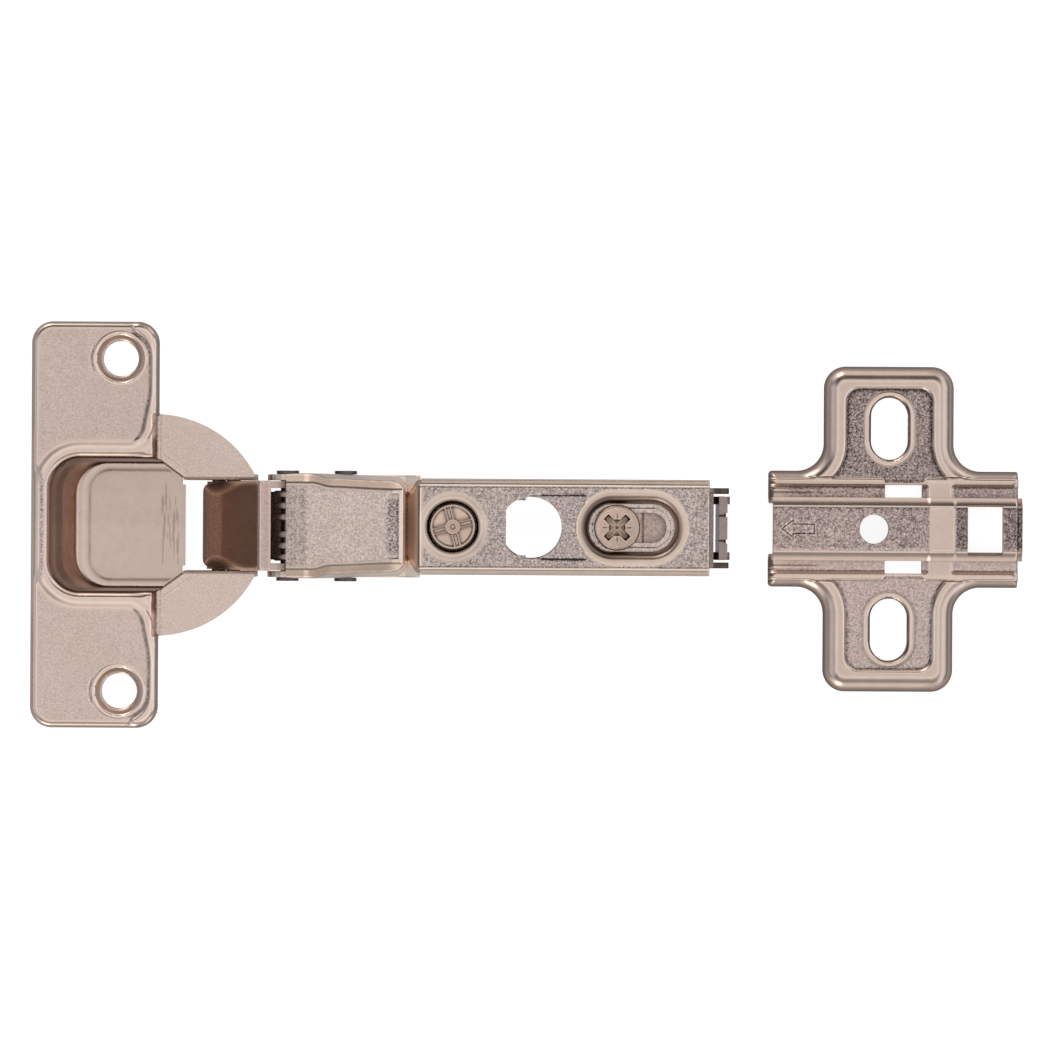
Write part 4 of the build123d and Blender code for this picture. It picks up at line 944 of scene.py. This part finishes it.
def plate_height(x, y):
    ay = abs(y)
    inside = most(-plate_edge(x, y), 0)
    slot = slot_distance(x, y)
    t = np.clip(1 - inside / 3.0, 0, 1)
    wing = 2.42 - 3.15 * (1 - np.sqrt(1 - 0.907 * t * t)) \
        - 0.5 * fade(pocket_distance(x, y), -0.4, 0.35) \
        + 0.24 * hump(slot, 0.52, 0.95) - 0.25 * fade(slot, 0, 0.42)
    # bands beside the rail: a rolled lip, then a groove that the smooth step interrupts
    groove = fade(ay, 6.5, 7.2) * (1 - 0.9 * between(x, STEP, 0.5))
    band = 2.1 - 0.45 * groove + 0.10 * hump(ay, 7.6, 0.5) - 0.5 * soft_edge(inside, 1.6, 1.6) \
        + 0.12 * hump(ay, 6.1, 0.5) * fade(x, 107.5, 113) * groove
    gap = between(x, GAP, 0.25)
    blend = ease(ay, 7.95 - 0.7 * gap, 8.45 - 0.6 * gap)
    low = wing * blend + band * (1 - blend) - 0.10 * hump(ay, 8.2, 0.2) * (1 - gap)
    slope = most(ay - RAIL_FLAT, 0)
    rail = 5.45 - 0.30 * slope - 0.16 * slope * slope - 0.06 * hump(ay, RAIL_FLAT, 0.2) \
        + 0.14 * between(x, STEP, 0.35) - 0.06 * hump(arrow_line(x, y), 0, 0.14) \
        - rounded_edge(PLATE[1] - 0.8 - x, 0.3)
    return PLATE_BASE + np.where(ay < RAIL_EDGE, rail, low) - 0.25 * rounded_edge(inside, 0.3)


def plate_outline(x, y):
    ay = abs(y)
    small = most(abs(x - 123.6) - 3.0, abs(ay - 6.08) - 1.04)
    large = most(abs(x - 136.2) - 2.8, ay - 4.05)
    hole = np.hypot(x - 118.6, y) - 2.3
    cut = least(small, large, hole, slot_distance(x, y))
    ends = np.where(ay < RAIL_EDGE, 102.6 - x, x - 141.8)
    return most(plate_edge(x, y), ends, -cut)


def plate_rim(x, y):
    rail = abs(y) < RAIL_EDGE + 0.1
    return np.where(rail, most(plate_height(x, y) - 1.2, PLATE_BASE), PLATE_BASE)


def plate_pocket(x, y):
    gap = between(x, GAP, 0.25)
    return fade(pocket_distance(x, y), -0.4, 0.2) * ease(slot_distance(x, y), 0.95, 1.4) \
        * ease(abs(y), 8.2 - gap, 8.5 - gap)


def plate_grain(x, y):
    ay = abs(y)
    pocket = (0.9 + 0.4 * (y > 0)) * plate_pocket(x, y)
    rail = 1.35 * fade(ay, RAIL_FLAT - 0.15, RAIL_FLAT + 0.05) * (1 - between(x, STEP, 0.15))
    groove = (0.7 + 0.5 * (y > 0)) * fade(ay, 6.5, 6.9) * (ay > RAIL_EDGE) \
        * (1 - between(x, STEP, 0.4)) * ease(x, 103, 107)
    return most(pocket, rail, groove)


# painted shade and highlight for the plate
def plate_painted_shading(x, y):
    ay, inside = abs(y), -plate_edge(x, y)
    slot, arrow = slot_distance(x, y), arrow_line(x, y)
    # the upper pocket is darker than the lower; painted shade along the pockets' edges
    pocket = (-0.15 + 0.72 * (y > 0)) * plate_pocket(x, y) \
        + 0.55 * hump(pocket_distance(x, y), -0.4, 0.6) * (ay > 8.3)
    # painted shade in the bands beside the rail on the +Y side and a painted highlight on the -Y
    # side
    groove = (1 - between(x, STEP, 0.4)) * (
        (0.3 - 0.75 * (y < 0)) * between(ay, (RAIL_EDGE, 6.6), 0.1)
        + 0.3 * between(ay, (6.6, 7.6), 0.15) * (y > 0))
    # painted shade round each slot's collar and at the slot's edge
    ring = 0.8 * hump(slot, 1.15, 0.3) + 0.7 * fade(slot, 0.1, 0.25)
    # painted shade along the plate's outer edge and on the right-hand rim of each wing
    edge = 0.8 * fade(inside, 0.25, 0.6) * (ay > RAIL_EDGE) \
        + 0.5 * hump(inside, 1.0, 0.7) * ease(x, 126.5, 128.5) * ease(ay, 9.0, 12.0)
    # painted shade on the rail, most at its +Y edge, a painted highlight along its -Y edge, darker
    # towards +X; darker bands past the step and at the far end
    rail = 0.22 + 0.4 * hump(y, 3.4, 0.6) - 0.7 * hump(y, -3.5, 0.9) + 0.15 * ease(x, 116, 127)
    rail = rail * (1 - between(x, STEP, 0.15)) \
        + 0.45 * (between(x, (131.7, 133.4), 0.1) + ease(x, 139.0, 139.3))
    # painted shade in the arrow's pressed outline and a painted highlight beside it
    line = hump(arrow, 0, 0.14) - 0.6 * hump(arrow, 0.24, 0.12)
    return most(pocket + groove, most(edge, ring) * (ay > RAIL_EDGE)) \
        + rail * (ay < RAIL_FLAT) + line * (ay < 2)


# painted brown reflection on the plate's outer edge and round its slots
def plate_painted_reflection(x, y):
    return most(0.9 * fade(-plate_edge(x, y), 0.2, 0.8), 0.7 * hump(slot_distance(x, y), 0.05, 0.3))


plate_xs = axis_points(102.0, (103.1, 0.13), (109.6, 0.1), (110.7, 0.2), (115.2, 0.13),
                       (117.9, 0.22), (127.9, 0.14), (131.8, 0.14), (133.2, 0.2), (133.6, 0.1),
                       (138.8, 0.52), (139.2, 0.1), (141.0, 0.2), (142.2, 0.12))
plate_ys = mirrored_points(0, (1.5, 0.1), (3.0, 0.25), (9.5, 0.11), (20.6, 0.24), (26.0, 0.13))
plate = make_piece(
    "pressed_plate", "carriage", ["mounting_plate"], PLATE_PLATING,
    pressing(plate_xs, plate_ys, plate_outline, plate_height, PLATE_SHEET, plate_rim,
             bottom=PLATE_BASE),
    grain=plate_grain, relief=plate_height, worn=plate_painted_shading, drawn=plate_painted_reflection)

# ---- the outer link: a folded sheet with rolled shoulders
KNUCKLE = (14.85, -7.35)  # x and z of its pin
KNUCKLE_R = 2.55
LINK_HALF = 6.95
LINK_SHEET = 1.05
WEB_X = 12.667  # where the curl round the pin meets the web
WEB = ([WEB_X, 13.4, 14.2, 15.4, 22.0, 22.4, 23.0, 24.5],
       [-6.03, -4.45, -3.0, -1.22, 8.30, 8.72, 8.82, 8.80])
LIP_X = 22.0  # where the web bends over to the lip
LIP_END_X = 24.05


def link_shoulder(x):
    """Distance from the link's edge to the crest of its shoulder."""
    return 0.35 + 1.62 * hump(x, 14.6, np.where(x < 14.6, 3.2, 5.4))


def link_height(x, y):
    knuckle_z = KNUCKLE[1] + np.sqrt(most(KNUCKLE_R ** 2 - (x - KNUCKLE[0]) ** 2, 0))
    inside, shoulder = LINK_HALF - 0.02 - abs(y), link_shoulder(x)
    return np.where(x < WEB_X, knuckle_z, np.interp(x, *WEB)) \
        - 0.85 * rounded_edge(inside, shoulder) \
        + 0.10 * hump(inside, shoulder, 0.5) * (x > 12.8) * (x < LIP_X)


def link_outline(x, y):
    corner = np.clip((x - 12.3) / 1.1, 0, 1)
    half = LINK_HALF - 0.45 * fade(x, 13.6, 16.0) - 1.4 * (1 - np.sqrt(corner * (2 - corner)))
    return most(12.32 - x, x - LIP_END_X, abs(y) - half)


# painted shade and highlight for the link
def link_painted_shading(x, y):
    inside, shoulder, web = LINK_HALF - abs(y), link_shoulder(x), x < LIP_X
    # painted highlight along each shoulder's crest
    line = hump(inside, shoulder - 0.1, 0.7) * web
    # painted highlight in a streak across the web near the knuckle
    streak = ease(x, 13.1, 13.9) * fade(x, 15.4, 16.2) * ease(inside, 1.0, 2.6)
    # painted shade on the web towards the lip
    shade = 0.35 * ease(x, 16.0, 21.5) * web
    # painted highlight on the lip, strongest along its end
    lip = -0.15 * (x > LIP_X) - 0.5 * hump(x, LIP_END_X - 0.15, 0.3)
    # painted highlight outside the shoulders' crests on the web's far part
    outside = ease(shoulder - inside, -0.2, 0.2) * ease(x, 15.2, 17.0) * web
    # the last term is painted shade at the knuckle's end
    return shade - 1.5 * line - 0.8 * outside - 1.1 * streak + lip + 0.3 * (x < 13.0)


link_xs = axis_points(12.2, (13.4, 0.08), (21.6, 0.15), (24.2, 0.1))
link_ys = mirrored_points(0, (4.4, 0.4), (7.05, 0.09))
ear = arc(KNUCKLE, 1.9, range(150, 311, 16)) + [(19.3, -4.4), (24.4, 3.8)] \
    + arc(FRONT_PIN, 2.45, range(-60, 101, 20)) + [(23.6, 8.6), (22.5, 8.2), (15.7, -1.6)]
# the link's web has the painted brown reflection all over; its lip has little
link = make_piece(
    "folded_link", "outer_link", ["outer_link"], LINK_PLATING,
    pressing(link_xs, link_ys, link_outline, link_height, LINK_SHEET, spread=0.1),
    *side_plates(ear, 5.85, 6.9),
    grain=lambda x, y: 0.3 + 0.9 * hump(x, 14.7, 1.6), relief=link_height, worn=link_painted_shading,
    drawn=lambda x, y: 1.0 - 0.8 * ease(x, 21.9, 22.3))

# ---- the closing spring: two coils round the front pin and the bridge under the hood
coils = Grower("closing_coils", Turns=2.5, Radius=1.75, Pitch=1.78, Wire=0.56, Inner=1.33,
               Material=SPRING_STEEL)
turns, radius, pitch, thickness, inner, finish = coils.given
spiral = coils.add("CurveSpiral", Resolution=26, Rotations=turns, Start_Radius=radius,
                   End_Radius=radius, Height=turns * pitch)
# each turn lies square to the pin in front and climbs to the next one at the back
share = coils.add("Math", {"operation": "FRACT"}, coils.add("SplineParameter") * turns)
climbed = coils.add("MapRange", {"interpolation_type": "SMOOTHSTEP"}, share, 0.5, 1.0)
lift = coils.add("CombineXYZ", Z=(climbed - share) * pitch)
squared = coils.add("SetPosition", Geometry=spiral, Offset=lift)
shift = coils.add("CombineXYZ", None, FRONT_PIN[0], inner, FRONT_PIN[1])
placed = coils.move(squared, shift, turn=(-pi / 2, -pi / 2, 0))
wire = coils.add("CurvePrimitiveCircle", Resolution=12, Radius=thickness)
right = coils.add("CurveToMesh", Curve=placed, Profile_Curve=wire, Fill_Caps=True)
left = coils.add("FlipFaces", Mesh=coils.move(right, scale=(1, -1, 1)))
both = coils.add("JoinGeometry", Geometry=[right, left])
bridge_half = [(26.2, 1.4, 7.25), (28.0, 1.4, 7.25), (30.6, 1.4, 7.3), (31.3, 1.1, 7.3),
               (31.5, 0.4, 7.3)]
bridge = bridge_half + [(x, -y, z) for x, y, z in reversed(bridge_half)]
spring = make_piece("closing_coils", "arm", ["closing_spring"], SPRING_STEEL,
                    coils.close(both, finish), tube(bridge, 0.53), smooth=60)

# ---- the overlay screw: a sunk face with a boss and four double ribs
SCREW_TOP = 10.2
RIB_TURN = radians(15)
# radius and height below its top, from the middle of the face to the end of the shank
SCREW_PROFILE = [
    (0, 0.02), (0.2, 0.02), (0.34, -0.09), (0.5, 0.0), (0.95, 0.0), (1.15, -0.06), (1.24, -0.2),
    (1.28, -0.40), (1.5, -0.41), (1.8, -0.41), (2.1, -0.40), (2.4, -0.39), (2.7, -0.37),
    (2.92, -0.34), (3.0, -0.28), (3.06, -0.06), (3.12, 0.0), (3.32, 0.0), (3.44, -0.05),
    (3.5, -0.16), (3.5, -1.3), (2.6, -1.3), (2.6, -2.8), (1.5, -2.8), (1.5, -5.9), (2.4, -5.9),
    (2.4, -6.9), (0, -6.9)]


def head_painted_shading(x, y):
    """Painted shade in the pockets, darkest beside and between the ribs and under the rim, with a
    painted highlight across one side of them; painted shade round the boss's middle and on the
    head's outer edge.
    """
    dx, r = x - DISH_X, seat_radius(x, y)
    u = dx * cos(RIB_TURN) + y * sin(RIB_TURN)
    v = y * cos(RIB_TURN) - dx * sin(RIB_TURN)
    off = least(abs(u), abs(v))
    shade = hump(off, 0.74, 0.32) + hump(r, 1.36, 0.2) + hump(r, 2.98, 0.22) - 0.35 \
        - 0.35 * hump(off, 1.5, 0.5) * (dx < y) + 0.5 * (off < 0.25)
    pocket = ease(r, 1.24, 1.3) * fade(r, 3.0, 3.06)
    return pocket * shade + 0.9 * hump(r, 0.36, 0.14) + 0.6 * ease(r, 3.42, 3.5)


ribs = Grower("head_ribs", Count=4, Length=1.95, Thickness=0.22, Spread=0.40, Turn=RIB_TURN,
              Material=PLATING)
count, length, thickness, spread, start, finish = ribs.given
bar = ribs.add("MeshCylinder", Vertices=10, Side_Segments=1, Radius=thickness, Depth=length)
lying = ribs.move(bar, (2.1, 0, 0), turn=(0, pi / 2, 0))
pair = ribs.add("JoinGeometry", Geometry=[
    ribs.move(lying, ribs.add("CombineXYZ", Y=side)) for side in (spread, spread * -1.0)])
spin = ribs.add("CombineXYZ", Z=ribs.add("InputIndex") * (pi / 2) + start)
round_boss = ribs.add("InstanceOnPoints", Points=ribs.add("Points", Count=count), Instance=pair,
                      Rotation=spin)
lifted = ribs.move(round_boss, (DISH_X, 0, SCREW_TOP - 0.22))
head = lathe([(r, SCREW_TOP + z) for r, z in SCREW_PROFILE], DISH_X, 120)
screw = make_piece("overlay_screw_body", "overlay_screw", ["overlay_screw"], HEAD, head,
                   ribs.close(lifted, finish), worn=head_painted_shading, smooth=30)

# ---- the depth screw: a domed head with a cross recess
DEPTH_X, DEPTH_TOP, DEPTH_R = 77.55, 10.42, 3.55
ARM_WIDTH, ARM_LENGTH = 0.50, 2.38  # half sizes of the cross's arms
DEPTH_UNDER = 8.45


def depth_radius(x, y):
    return np.hypot(x - DEPTH_X, y)


def depth_dome(x, y):
    return DEPTH_TOP - 0.30 * (depth_radius(x, y) / 2.9) ** 2


def depth_height(x, y):
    dx, r = x - DEPTH_X, depth_radius(x, y)
    u, v = abs((dx + y) * 0.7071), abs((dx - y) * 0.7071)
    arms = least(most(u - ARM_WIDTH, v - ARM_LENGTH), most(v - ARM_WIDTH, u - ARM_LENGTH))
    depth = 1.25 * fade(arms, -0.14, 0.04) + 0.25 * fade(r, 1.2, 2.2) * (arms < 0)
    depth = most(depth, 0.95 * fade(r, 1.1, 1.3))
    depth += 0.1 * hump(r, 0.8, 0.2) * (r < 1.2) - 0.25 * hump(r, 0, 0.35)
    # four short marks between the arms
    depth += 0.10 * most(hump(dx, 0, 0.14), hump(y, 0, 0.14)) * ease(r, 1.35, 1.5) \
        * fade(r, 2.1, 2.3)
    return depth_dome(x, y) - rounded_edge(DEPTH_R - r, 0.4) - depth


# painted shade in the cross recess, lighter in its middle, and painted shade across the head,
# growing towards +X and -Y
def depth_painted_shading(x, y):
    r = depth_radius(x, y)
    sunk = ease(depth_dome(x, y) - depth_height(x, y), 0.35, 0.8) * (r < 2.9)
    lean = (x - DEPTH_X - y) / 3.5
    return (1.25 - 0.75 * fade(r, 1.05, 1.35)) * sunk + 0.22 * lean * (r < 3.4) - 0.1


head_lines = axis_points(-3.6, (-2.6, 0.11), (2.6, 0.062), (3.6, 0.11))
# the cross recess gets the painted brown reflection
depth = make_piece(
    "depth_screw_body", "depth_screw", ["depth_screw"], HEAD,
    pressing(head_lines + DEPTH_X, head_lines, lambda x, y: depth_radius(x, y) - DEPTH_R,
             depth_height, 0.25, lambda x, y: np.full_like(x, DEPTH_UNDER), spread=0.05),
    lathe([(0, 9.0), (2.1, 9.0), (2.1, 1.45), (0, 1.45)], DEPTH_X, 40),
    grain=lambda x, y: np.full_like(x, 0.25), relief=depth_height, worn=depth_painted_shading,
    drawn=lambda x, y: 0.45 * fade(depth_radius(x, y), 1.1, 1.4), smooth=50)

# ---- floor, light and camera
FLOOR_Z = cad_box[0][2]
TABLE_DISTANCE = 0.640
CENTRE_X = 0.06335
CENTRE_Y = 0.00033
FRAME_WIDTH = 1050 / 6.269 * MM
SENSOR = 36

bpy.ops.mesh.primitive_plane_add(size=3.0, location=(CENTRE_X, 0, FLOOR_Z - 0.00002))
floor = bpy.context.object
floor.name = "floor"
paper = Finish(bpy.data.materials.new("white_paper"))
sight, mirror, through = (paper.node("ShaderNodeLightPath", {}, out=f"Is {kind} Ray")
                          for kind in ("Camera", "Glossy", "Transmission"))
paper.set(Base_Color=(0.36, 0.36, 0.36, 1), Roughness=0.95, Emission_Color=(1, 1, 1, 1),
          Emission_Strength=sight * 0.86 + mirror * 0.25 + through * 0.86)
floor.data.materials.append(paper.owner)

world = bpy.data.worlds.new("studio")
scene.world = world
studio = Finish(world, "Background")
direction = studio.node("ShaderNodeTexCoord", {}, out="Generated")
along, across, up = (studio.part(direction, axis) for axis in "XYZ")
back, near = 0.0 - along, 0.0 - across


def towards(x, y, z):
    """How directly a ray points at a lamp box."""
    length = (x * x + y * y + z * z) ** 0.5
    return studio.node("ShaderNodeVectorMath", {"operation": "DOT_PRODUCT"}, direction,
                       (x / length, y / length, z / length), out="Value")


# an overhead box, light walls at the ends, a strip of light along each long side, and three
# lamp boxes
below = 1.0 - up.step(0.7, 0.85)
middle = up.step(0.40, 0.55) - up.step(0.76, 0.88)
glow = 0.26 + up.step(0.74, 0.90) * 0.72 + (up.step(0.76, 0.87) - up.step(0.88, 0.97)) * 0.34 \
    + along.step(0.35, 0.8) * up.step(0.12, 0.32) * below * 0.95 \
    + back.step(0.35, 0.8) * below * 0.16 - back.step(0.25, 0.5) * up.step(0.5, 0.7) * 0.15 \
    + abs(across).step(0.40, 0.80) * (1.0 - up.step(0.40, 0.55)) * 0.80 \
    - across.step(0.35, 0.6) * middle * 0.14 + near.step(0.35, 0.6) * middle * 0.16 \
    + towards(-0.34, -0.9, 0.25).step(0.955, 0.985) * 1.6 \
    + towards(-0.34, 0.9, 0.25).step(0.955, 0.985) * 1.6 \
    + towards(-0.75, -0.08, 0.62).step(0.88, 0.97) * 0.45
tone = studio.mix(up.step(-0.1, 0.7), (1.0, 0.92, 0.86, 1), (1.0, 0.985, 0.975, 1))
tone = studio.mix(abs(along).step(0.3, 0.7) * 0.8, tone, (0.95, 0.97, 1.05, 1))
studio.set(Color=tone, Strength=glow.high(0.03))

camera_data = bpy.data.cameras.new("camera")
camera_data.sensor_width = SENSOR
camera_data.lens = SENSOR * TABLE_DISTANCE / FRAME_WIDTH
camera = bpy.data.objects.new("camera", camera_data)
camera.location = (CENTRE_X, CENTRE_Y, FLOOR_Z + TABLE_DISTANCE)
camera.rotation_euler = (0, 0, radians(0.34))
scene.collection.objects.link(camera)
scene.camera = camera
scene.view_settings.view_transform = "Standard"
